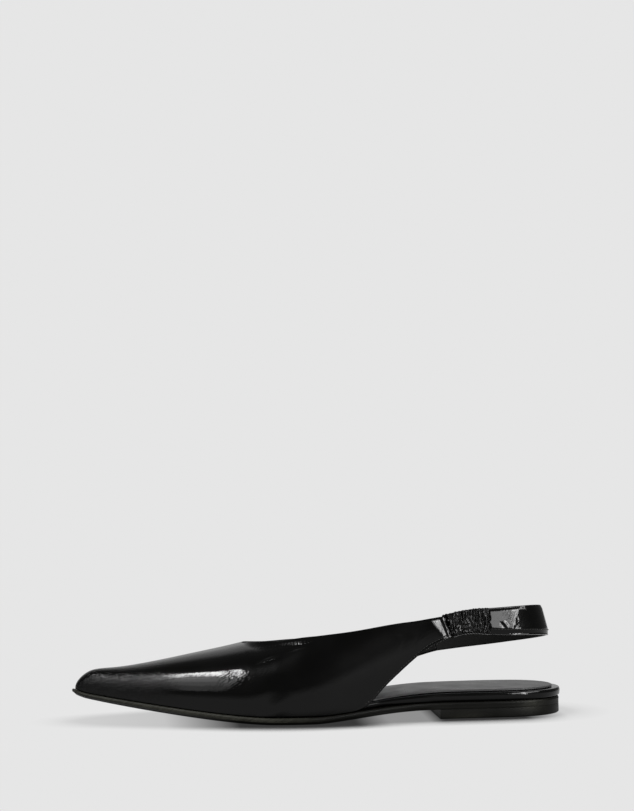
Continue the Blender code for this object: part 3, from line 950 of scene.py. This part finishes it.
def bend_back(distance, width, slope):
    """A face that slopes back within this width of an edge."""
    inside = np.maximum(width - distance, 0)
    return -slope * inside * smoothstep(inside, 0, BEND_SHARE * width)


def seam_width(height_share):
    return SEAM_WIDTH_FOOT + (SEAM_WIDTH_TOP - SEAM_WIDTH_FOOT) * height_share


def throat_lip(x, from_top):
    """The leather under the topline sinks behind the throat, so that the edge stands up steeply."""
    rest = np.maximum(LIP_WIDTH - from_top, 0)
    sunk = LIP_SLOPE * (LIP_WIDTH - rest**2 / LIP_WIDTH) / 2
    return -between(x, *LIP_SPAN) * sunk * smoothstep(-from_top, -LIP_WIDTH - LIP_FALL, -LIP_WIDTH)


def throat_rise(grid, from_top):
    """The outer topline stands a little higher just behind the throat."""
    amount = THROAT_RISE * between(grid[:, -1:, 0], *RISE_SPAN)
    near_top = np.clip(1 - from_top / LIP_WIDTH, 0, 1) ** 2
    return np.array([0, 0, 1]) * (amount * near_top)[..., None]


def edge_roll(from_top):
    return -ROLL_DEPTH * np.maximum(1 - from_top / ROLL_WIDTH, 0) ** 2


def groove(distance):
    return -GROOVE_DEPTH * np.exp(-((distance - STITCH_INSET) / GROOVE_WIDTH) ** 2)


def rounding(distance, radius, depth):
    """How far a face falls back near an edge that is rounded off over this width."""
    inside = np.clip(1 - distance / radius, 0, 1)
    return depth * (1 - np.sqrt(1 - inside**2))


def upper_surface(side):
    """Outer face of one side of the upper with its creases, its normals and the distances from its edges."""
    grid = upper_grid(side)
    normal = grid_normals(grid, side)
    from_foot, from_top, from_end = edge_distances(grid)
    if side == LATERAL:
        grid = grid + throat_rise(grid, from_top)
    x, _, z = np.moveaxis(grid, -1, 0)
    wing = np.arange(len(grid))[:, None] >= TOE_ROWS - 1
    off_sole = wing & (z[:, :1] > sole_top(x[:, :1]) + 2 * GAP)
    height_share = from_foot / np.maximum(from_foot[:, -1:], EDGE_ROUND)
    creases = [crease for crease in CREASES if crease.side == side]
    relief = swell(grid) * smoothstep(x, x[0, 0], x[0, 0] + SWELL_START)
    relief += crease_relief(x, z, creases) * smoothstep(from_top, CREASE_TOP, CREASE_FULL)
    relief += throat_lip(x, from_top)
    relief += edge_roll(from_top) * smoothstep(x, ROLL_START, ROLL_FULL)
    relief += np.where(off_sole, groove(from_foot), 0)
    relief += bend_back(from_end, seam_width(height_share), SEAM_SLOPE)
    grid = grid + normal * relief[..., None]
    return grid, grid_normals(grid, side), from_foot, from_top, from_end, wing, off_sole


def stitch_line(grid, normal, from_foot, off_sole):
    """Points and normals of the line of stitches inside a wing's back edge."""
    free = np.flatnonzero(off_sole[:, 0])[UNSTITCHED_START:-UNSTITCHED_END]
    return [np.array([read_along(STITCH_INSET, from_foot[row], source[row]) for row in free])
            for source in (grid, normal)]


def make_upper():
    """One shell from toe to both wing ends with rounded edges, patent outside and lined inside."""
    points, faces, finishes, stitch_lines = [], [], [], []
    for side in (LATERAL, MEDIAL):
        grid, normal, from_foot, from_top, from_end, wing, off_sole = upper_surface(side)
        wall = np.minimum(WALL, TIP_WALL_SHARE * np.abs(grid[:, :1, 1]) + TIP_WALL)
        side_edge = np.minimum(from_foot, np.where(wing, from_top, FAR))
        edge = np.minimum(side_edge, from_end)
        outer = np.minimum(EDGE_ROUND, wall / 2)
        inner = wall - outer
        inner_fall = np.maximum(rounding(side_edge, inner, inner), rounding(from_end, END_ROUND, inner))
        lined = (edge > WALL)[:-1, :-1].reshape(-1)
        outside = (rounding(edge, outer, outer), side == MEDIAL, np.zeros(lined.size))
        inside = (wall - inner_fall, side == LATERAL, lined)
        for depth, flip, finish in (outside, inside):
            faces.append(grid_faces(*edge.shape, len(points) * edge.size, flip=flip))
            points.append((grid - normal * depth[..., None]).reshape(-1, 3))
            finishes.append(finish)
        stitch_lines.append(stitch_line(grid, normal, from_foot, off_sole))
    points = np.concatenate(points)
    marks = {
        "crinkle": CRINKLE_LEVEL + in_zones(points, CRINKLED),
        "hatch": in_zones(points, HATCHED),
        "pucker": in_zones(points, PUCKERED),
        "grain": smoothstep(-points[:, 0], -GRAIN_BACK, -GRAIN_FRONT),
    }
    new_piece("upper", points, np.concatenate(faces), [PATENT, LINING], np.concatenate(finishes),
              node="upper", marks=marks)
    make_stitches("upper_stitches", stitch_lines)


def make_stitches(name, lines):
    """Short threads along lines of points with normals, each sunk into the leather at both ends."""
    along = np.linspace(-1, 1, THREAD_STATIONS)
    swing = np.linspace(0, 2 * math.pi, THREAD_SIDES, endpoint=False)
    rise = STITCH_RADIUS * (THREAD_RISE - THREAD_SINK * along**2)
    radius = STITCH_RADIUS * np.sqrt(1 - THREAD_TAPER * along**2)
    size = THREAD_STATIONS * THREAD_SIDES
    points, faces = [], []
    for path, normals in lines:
        reach = run_along(path)
        for place in np.arange(STITCH_PITCH / 2, reach[-1], STITCH_PITCH):
            start, middle, end = read_along(place + np.array([-0.5, 0, 0.5]) * STITCH_LENGTH, reach, path)
            out = read_along(place, reach, normals)
            ahead = (end - start) / np.linalg.norm(end - start)
            spine = middle + np.outer(along * STITCH_LENGTH / 2, ahead) + np.outer(rise, out)
            ring = np.outer(np.cos(swing), out) + np.outer(np.sin(swing), np.cross(out, ahead))
            first = len(points) * size
            points.append((spine[:, None] + radius[:, None, None] * ring[None]).reshape(-1, 3))
            faces += grid_faces(THREAD_STATIONS, THREAD_SIDES, first, closed=True, flip=True).tolist()
            faces.append(list(range(first, first + THREAD_SIDES))[::-1])
            faces.append(list(range(first + size - THREAD_SIDES, first + size)))
    new_piece(name, np.concatenate(points), faces, [THREAD])


def strip_section():
    """Section of the strap: places on a box within the corners, and directions round the corners. Each face
    is followed by a corner, and the next face is a quarter turn on."""
    face = np.linspace(-1, 1, FACE_POINTS)
    corner = np.linspace(0, math.pi / 2, CORNER_POINTS)[1:-1]
    rows = []
    for cos, sin, run in ((1, 0, face), (0, 1, (-1, 1)), (-1, 0, face), (0, -1, (-1, 1))):
        side = [(1, b, 1, 0) for b in run] + [(1, 1, math.cos(t), math.sin(t)) for t in corner]
        rows += [(a * cos - b * sin, a * sin + b * cos, u * cos - v * sin, u * sin + v * cos)
                 for a, b, u, v in side]
    return np.array(rows).T


def strip(shares, relief=0, inner_relief=0, widening=0, thin=1):
    """Points of a strip with rounded edges along the strap's path, with relief on its two faces."""
    middle, normal, up, width = strap_frames(shares)
    a, b, corner_a, corner_b = strip_section()
    half, tall = STRAP_THICK / 2, (width / 2)[:, None] + widening
    out = (a * (half - STRAP_CORNER) + STRAP_CORNER * corner_a) * thin
    out = out + np.where(corner_a > 0, relief, inner_relief) * corner_a
    high = b * (tall - STRAP_CORNER) + STRAP_CORNER * corner_b * thin
    return middle[:, None] + normal[:, None] * out[..., None] + up[:, None] * high[..., None]


def tongue(start, length):
    """A thin end that runs on under the neighbouring piece."""
    return strip(np.array([start, start + length / STRAP_LENGTH]), thin=TUCK_THIN)


def ripple(run, across, wave):
    """Smooth noise at places along and across a strip."""
    return np.array([[noise.noise(Vector((wave.along * s, wave.across * v, wave.seed))) for v in across]
                     for s in run])


def strip_piece(name, points, crinkle):
    rows, columns = points.shape[:2]
    faces = grid_faces(rows, columns, closed=True).tolist()
    _, _, corner_a, _ = strip_section()
    inner = (corner_a < -LINED_SHARE) & (np.roll(corner_a, -1) < -LINED_SHARE)
    finishes = np.tile(inner, rows - 1).tolist() + [0, 0]
    faces += [list(range(columns)), list(range((rows - 1) * columns, rows * columns))[::-1]]
    new_piece(name, points.reshape(-1, 3), faces, [PATENT, LINING], finishes, node=name,
              marks={"crinkle": np.repeat(crinkle, columns)})


def make_elastic():
    """Leather gathered in uneven folds over elastic, between the outer wing and the back strap."""
    shares = np.linspace(GAP / STRAP_LENGTH, ELASTIC_SHARE, GATHERS * GATHER_STATIONS + 1)
    _, b, _, _ = strip_section()
    run = np.linspace(0, 1, len(shares))
    sway, uneven, fine = (ripple(run, b, wave) for wave in (SWAY_RIPPLE, UNEVEN_RIPPLE, FINE_RIPPLE))
    ends = smoothstep(np.minimum(run, 1 - run), 0, FOLD_ENDS)[:, None]
    fold = np.abs(np.sin(math.pi * (GATHERS * run[:, None] + FOLD_SWAY * sway * ends)))
    relief = GATHER_DEPTH * (fold * (1.0 + FOLD_UNEVEN * uneven) + FOLD_FINE * fine) * ends
    along = (shares - shares[0])[:, None] * STRAP_LENGTH
    teeth = FIRST_FOLD * (FIRST_FOLD_LEVEL + FIRST_FOLD_RAGGED * ripple([1], b, FIRST_FOLD_RIPPLE)[0])
    risen = smoothstep(along, teeth, teeth + FIRST_FOLD_RISE)
    sunk = SEAM_SLOPE * seam_width((1 + b) / 2) + FIRST_FOLD_SINK
    sunk = sunk + FIRST_FOLD_SLOPE * np.minimum(along, teeth)
    widening = FOLD_WIDENING * GATHER_DEPTH * fold * (1 + uneven) * ends
    points = np.concatenate([tongue(shares[0], -TUCK)[::-1],
                             strip(shares, relief * risen - sunk * (1 - risen), relief, widening),
                             tongue(shares[-1], TUCK)])
    strip_piece("elastic", points, np.full(len(points), ELASTIC_CRINKLE))


def make_strap():
    """Back strap from the elastic round the heel to the inner wing, stitched along its lower edge."""
    first, last = ELASTIC_SHARE + GAP / STRAP_LENGTH, 1 - HEEL_SEAM / STRAP_LENGTH
    shares = np.linspace(first, last, STRAP_STATIONS)
    middle, normal, up, width = strap_frames(shares)
    _, b, _, _ = strip_section()
    half = (width / 2)[:, None]
    high = b * half
    behind = (shares - ELASTIC_SHARE) * STRAP_LENGTH
    along = behind[:, None]
    swells, ragged = (ripple(shares * STRAP_LENGTH, b, wave) for wave in (STRAP_RIPPLE, RAGGED_RIPPLE))
    teeth = TOOTH * np.abs(ripple([1], b, TOOTH_RIPPLE)[0])
    past = np.maximum(along - STRAP_FOLD - STRAP_FOLD_SLANT * high + STRAP_FOLD_RAGGED * ragged, 0)
    relief = STRAP_SWELL * swells + crease_relief(along, high, STRAP_DENTS)
    relief -= STRAP_TIP * high * smoothstep(-along, -STRAP_TIPPED, 0)
    relief -= TOOTH_SLOPE * np.maximum(teeth - along, 0)
    relief -= STRAP_FOLD_SLOPE * past * np.exp(-past / STRAP_FOLD_REACH)
    relief += bend_back(half + high, STRAP_MARGIN, STRAP_SLOPE)
    relief += bend_back(half - high, STRAP_TOP_MARGIN, STRAP_SLOPE)
    points = np.concatenate([strip(shares, relief), tongue(last, TUCK)])
    crinkle = CRINKLE_LEVEL + STRAP_CRINKLE * np.exp(-((behind - STRAP_CRINKLED) / STRAP_CRINKLE_REACH) ** 2)
    strip_piece("back_strap", points, np.pad(crinkle, (0, 2), "edge"))
    line = middle + normal * STRAP_THICK / 2 + up * (STRAP_MARGIN - width / 2)[:, None]
    make_stitches("strap_stitches", [(line, normal)])


def feed(tree, value, socket):
    """Links a socket to another one, or sets it to a plain value."""
    if isinstance(value, bpy.types.NodeSocket):
        tree.links.new(value, socket)
    else:
        socket.default_value = value


def node(tree, kind, inputs=None, **settings):
    """Adds a shader node, sets its properties and feeds its inputs."""
    made = tree.nodes.new(kind)
    for name, value in settings.items():
        setattr(made, name, value)
    for name, value in (inputs or {}).items():
        feed(tree, value, made.inputs[name])
    return made


def new_material(name, **shader_values):
    made = bpy.data.materials.new(name)
    made.use_nodes = True
    shader = made.node_tree.nodes["Principled BSDF"]
    for socket, value in shader_values.items():
        shader.inputs[socket.replace("_", " ")].default_value = value
    return made, made.node_tree, shader


def place_on_shoe(tree):
    return node(tree, "ShaderNodeTexCoord").outputs["Object"]


def attribute(tree, name):
    return node(tree, "ShaderNodeAttribute", attribute_name=name).outputs["Fac"]


def split(tree, vector):
    return node(tree, "ShaderNodeSeparateXYZ", {"Vector": vector}).outputs


def noise_texture(tree, vector, size, detail=2.0, output="Fac"):
    """Noise whose features measure about size."""
    inputs = {"Vector": vector, "Scale": 1 / size, "Detail": detail}
    return node(tree, "ShaderNodeTexNoise", inputs).outputs[output]


def mapped(tree, vector, **inputs):
    return node(tree, "ShaderNodeMapping", {"Vector": vector, **inputs}).outputs["Vector"]


def map_range(tree, value, start, end, low=0.0, high=1.0, **settings):
    """Maps start..end to low..high."""
    inputs = {"Value": value, "From Min": start, "From Max": end, "To Min": low, "To Max": high}
    return node(tree, "ShaderNodeMapRange", inputs, **settings).outputs["Result"]


def spread(tree, value, low, high):
    """Maps the middle range of a texture to low..high."""
    return map_range(tree, value, *TEXTURE_MIDDLE, low, high)


def mix(tree, factor, first, second):
    inputs = {"Factor": factor, "A": first, "B": second}
    return node(tree, "ShaderNodeMix", inputs).outputs["Result"]


def two_tone(tree, factor, dark, light):
    """A mix of two colours. The colour sockets of the node share their names, so they go by number."""
    return node(tree, "ShaderNodeMix", {"Factor": factor, 6: dark, 7: light}, data_type="RGBA").outputs[2]


def math_node(tree, operation, *values):
    inputs = dict(enumerate(values))
    return node(tree, "ShaderNodeMath", inputs, operation=operation).outputs[0]


def vector_math(tree, operation, first, second, output="Vector"):
    return node(tree, "ShaderNodeVectorMath", {0: first, 1: second}, operation=operation).outputs[output]


def bump(tree, height, distance, normal=None):
    inputs = {"Height": height, "Distance": distance, "Strength": 1.0}
    if normal is not None:
        inputs["Normal"] = normal
    return node(tree, "ShaderNodeBump", inputs).outputs["Normal"]


def ridge_line(tree, place, line):
    """A fine roof-shaped ridge along a slanting line on the shoe's sides."""
    above = vector_math(tree, "DOT_PRODUCT", place, (-line.slope, 0, 1), "Value")
    off = math_node(tree, "ABSOLUTE", math_node(tree, "SUBTRACT", above, line.height))
    return map_range(tree, off, RIDGE_WIDTH, 0)


def patent():
    """Black patent leather: a glossy coat over slanted crinkles, a fine grain and a duller, grained toe."""
    made, tree, shader = new_material("patent_leather", Coat_Weight=1.0, Coat_Roughness=0.025, Coat_IOR=1.33,
                                      Specular_IOR_Level=0.04)
    place = place_on_shoe(tree)
    drift = noise_texture(tree, place, DRIFT_SIZE, output="Color")
    drifted = vector_math(tree, "ADD", place, vector_math(tree, "MULTIPLY", drift, (DRIFT, DRIFT, DRIFT)))
    drawn = mapped(tree, mapped(tree, drifted, Rotation=(0, CRINKLE_SLANT, 0)), Scale=CRINKLE_DRAWN)
    wobble = noise_texture(tree, place, WOBBLE_SIZE, 0.0)
    across = (-math.sin(HATCH_SLANT) / HATCH_PITCH, 0, math.cos(HATCH_SLANT) / HATCH_PITCH)
    lines = vector_math(tree, "DOT_PRODUCT", place, across, "Value")
    lines = math_node(tree, "MULTIPLY_ADD", wobble, HATCH_WOBBLE, lines)
    along = math_node(tree, "DIVIDE", split(tree, place)["X"], BEAD_PITCH)
    beads = math_node(tree, "PINGPONG", math_node(tree, "ADD", along, wobble), 0.5)
    beads = map_range(tree, beads, BEAD_GAP, BEAD_FULL)
    beaded = math_node(tree, "MULTIPLY", ridge_line(tree, place, BEAD_RIDGE), beads)
    reliefs = (
        ("crinkle", noise_texture(tree, drawn, CRINKLE_SIZE, 1.0), CRINKLE_DEPTH),
        ("hatch", math_node(tree, "PINGPONG", lines, 0.5), HATCH_DEPTH),
        ("pucker", math_node(tree, "ADD", beaded, ridge_line(tree, place, PLAIN_RIDGE)), RIDGE_DEPTH),
        ("grain", noise_texture(tree, place, GRAIN_SIZE, 1.0), GRAIN_DEPTH),
    )
    normal = None
    for mark, relief, depth in reliefs:
        normal = bump(tree, math_node(tree, "MULTIPLY", relief, attribute(tree, mark)), depth, normal)
    normal = bump(tree, noise_texture(tree, place, FINE_SIZE, 0.0), FINE_DEPTH, normal)
    cloud = noise_texture(tree, place, CLOUD_SIZE)
    feed(tree, normal, shader.inputs["Normal"])
    feed(tree, normal, shader.inputs["Coat Normal"])
    feed(tree, spread(tree, cloud, *PATENT_ROUGHNESS), shader.inputs["Roughness"])
    feed(tree, two_tone(tree, cloud, *PATENT_BLACKS), shader.inputs["Base Color"])
    return made


def grained(name, dark, light, roughness, grain_size, grain_depth, specular):
    """Leather or rubber with a fine grain and cloudy colour."""
    made, tree, shader = new_material(name, Specular_IOR_Level=specular)
    place = place_on_shoe(tree)
    cells = node(tree, "ShaderNodeTexVoronoi", {"Vector": place, "Scale": 1 / grain_size}).outputs["Distance"]
    height = math_node(tree, "ADD", cells, noise_texture(tree, place, 3 * grain_size))
    cloud = noise_texture(tree, place, GRAINED_CLOUD, 3.0)
    rough = spread(tree, cloud, roughness - ROUGHNESS_SPREAD, roughness + ROUGHNESS_SPREAD)
    feed(tree, bump(tree, height, grain_depth), shader.inputs["Normal"])
    feed(tree, rough, shader.inputs["Roughness"])
    feed(tree, two_tone(tree, cloud, dark, light), shader.inputs["Base Color"])
    return made


def sole_finish():
    """Dark olive rubber, painted lighter in slanted streaks for its wear and for painted sheen."""
    made = grained("sole_edge", (0.003, 0.003, 0.0023, 1), (0.0062, 0.0062, 0.0046, 1), 0.42, 0.5 * MM,
                   0.02 * MM, 0.16)
    tree = made.node_tree
    base = tree.nodes["Principled BSDF"].inputs["Base Color"]
    drawn = mapped(tree, mapped(tree, place_on_shoe(tree), Rotation=(0, STREAK_SLANT, 0)), Scale=STREAK_DRAWN)
    streaks = spread(tree, noise_texture(tree, drawn, STREAK_SIZE), STREAK_LOW, 1.0)
    # Painted wear and sheen, broken into streaks
    worn_and_lit = math_node(tree, "MULTIPLY", attribute(tree, "wear"), streaks)
    feed(tree, two_tone(tree, worn_and_lit, base.links[0].from_socket, WORN_AND_LIT_COLOUR), base)
    return made


PATENT = patent()
LINING = grained("lining_leather", (0.005, 0.005, 0.0045, 1), (0.009, 0.009, 0.008, 1), 0.55, 0.6 * MM,
                 0.03 * MM, 0.25)
# The black satin's colour is raised to a dark grey as painted sheen, for the light it catches at a grazing
# angle
SATIN_WITH_PAINTED_SHEEN = grained("sock_satin_painted_sheen", (0.060, 0.060, 0.061, 1), (0.080, 0.080, 0.081, 1), 0.33, 0.5 * MM,
                0.02 * MM, 0.4)
SOLE_FINISH = sole_finish()
THREAD = grained("thread", (0.018, 0.018, 0.017, 1), (0.035, 0.035, 0.033, 1), 0.28, 0.15 * MM,
                 0.03 * MM, 0.4)


def sight(azimuth, elevation):
    """Direction from the shoe, and the level direction to the right for who looks at the shoe from there."""
    flat = math.cos(elevation)
    out = Vector((math.sin(azimuth) * flat, -math.cos(azimuth) * flat, math.sin(elevation)))
    return out, Vector((math.cos(azimuth), math.sin(azimuth), 0))


def make_camera():
    """Looks at the shoe from its outer side, tipped up so that the shoe stays low in the frame."""
    out, level = sight(-CAMERA_TURN, CAMERA_RISE)
    upright = out.cross(level)
    right = math.cos(CAMERA_ROLL) * level - math.sin(CAMERA_ROLL) * upright
    up = math.sin(CAMERA_ROLL) * level + math.cos(CAMERA_ROLL) * upright
    tip = math.atan((AIM_ROW - FRAME_HEIGHT / 2) / FOCAL_PIXELS)
    back = out * math.cos(tip) - up * math.sin(tip)
    top = up * math.cos(tip) + out * math.sin(tip)
    lens = bpy.data.cameras.new("camera")
    lens.sensor_width = SENSOR
    lens.lens = SENSOR * FOCAL_PIXELS / FRAME_HEIGHT
    camera = bpy.data.objects.new("camera", lens)
    turned = Matrix((right, top, back)).transposed().to_4x4()
    camera.matrix_world = Matrix.Translation(ORIGIN + CAMERA_AIM + out * CAMERA_DISTANCE) @ turned
    bpy.context.scene.collection.objects.link(camera)
    bpy.context.scene.camera = camera


def make_light(box):
    """A soft light that fills these angles as seen from the shoe."""
    azimuth, elevation, width, height, tilt = (math.radians(value) for value in box[1:6])
    out, level = sight(azimuth, elevation)
    turned = Matrix((level, out.cross(level), out)).transposed() @ Matrix.Rotation(tilt, 3, "Z")
    light = bpy.data.lights.new(box.name, "AREA")
    light.shape = "RECTANGLE"
    light.size = 2 * LIGHT_DISTANCE * math.tan(width / 2)
    light.size_y = 2 * LIGHT_DISTANCE * math.tan(height / 2)
    light.energy = box.radiance * math.pi * light.size * light.size_y
    lamp = bpy.data.objects.new(box.name, light)
    lamp.matrix_world = Matrix.Translation(ORIGIN + out * LIGHT_DISTANCE) @ turned.to_4x4()
    lamp.visible_camera = False
    bpy.context.scene.collection.objects.link(lamp)


def ramp(tree, value, low, high):
    return map_range(tree, value, low, high, interpolation_type="SMOOTHSTEP")


def for_camera(tree, others, camera):
    """One value for the camera's own rays and another for the rest of the light."""
    return mix(tree, node(tree, "ShaderNodeLightPath").outputs["Is Camera Ray"], others, camera)


def make_world():
    """A pale studio wall behind the shoe, dark in front of it. The camera sees a plain pale ground."""
    world = bpy.data.worlds.new("studio")
    world.use_nodes = True
    bpy.context.scene.world = world
    tree = world.node_tree
    x, y, height = split(tree, node(tree, "ShaderNodeTexCoord").outputs["Generated"])
    heelwards = math_node(tree, "MAXIMUM", x, 0)
    behind = ramp(tree, math_node(tree, "MULTIPLY_ADD", heelwards, WALL_TURN, y), *WALL_EDGE)
    wall = math_node(tree, "MULTIPLY", behind, ramp(tree, height, *WALL_TOP))
    lit = math_node(tree, "MULTIPLY", map_range(tree, height, 0, WALL_FOOT, WALL_FOOT_LIGHT), WALL_LIGHT)
    horizon = math_node(tree, "MULTIPLY", ramp(tree, height, HORIZON_TOP, 0), ramp(tree, y, *HORIZON_EDGE))
    room = math_node(tree, "MULTIPLY_ADD", horizon, HORIZON_LIGHT, ROOM_LIGHT)
    ground = tree.nodes["Background"]
    feed(tree, for_camera(tree, mix(tree, wall, room, lit), PALE), ground.inputs["Strength"])
    feed(tree, (1, 1, 1, 1), ground.inputs["Color"])


def make_floor():
    """Pale ground with a soft contact shadow."""
    bpy.ops.mesh.primitive_plane_add(size=FLOOR_SIZE, location=(0, 0, -FLOOR_DROP))
    floor = bpy.context.object
    floor.name = "floor"
    made = bpy.data.materials.new("floor")
    made.use_nodes = True
    tree = made.node_tree
    tree.nodes.remove(tree.nodes["Principled BSDF"])
    sky = node(tree, "ShaderNodeAmbientOcclusion", {"Distance": SHADOW_REACH}, samples=SHADOW_SAMPLES)
    clear = map_range(tree, sky.outputs["AO"], SHADOW_DARK, SHADOW_CLEAR)
    soft = math_node(tree, "POWER", clear, SHADOW_CURVE)
    along = math_node(tree, "MULTIPLY_ADD", split(tree, place_on_shoe(tree))["X"], 1 / FLOOR_SPAN, 0.5)
    left = node(tree, "ShaderNodeValToRGB", {"Fac": along})
    stops = left.color_ramp.elements
    for place in FLOOR_SHADE[1:-1]:
        stops.new(place.x / FLOOR_SPAN + 0.5)
    for stop, place in zip(stops, FLOOR_SHADE):
        stop.position = place.x / FLOOR_SPAN + 0.5
        stop.color = (place.left, place.left, place.left, 1)
    shade = mix(tree, soft, left.outputs["Color"], 1.0)
    level = math_node(tree, "MULTIPLY", shade, for_camera(tree, FLOOR_LIGHT, PALE))
    glow = node(tree, "ShaderNodeEmission", {"Strength": level})
    feed(tree, glow.outputs["Emission"], tree.nodes["Material Output"].inputs["Surface"])
    floor.data.materials.append(made)


make_camera()
make_outsole()
make_heel()
make_insole()
make_sock()
make_upper()
make_elastic()
make_strap()
make_world()
for softbox in SOFTBOXES:
    make_light(softbox)
make_floor()
bpy.context.scene.view_settings.view_transform = "Standard"
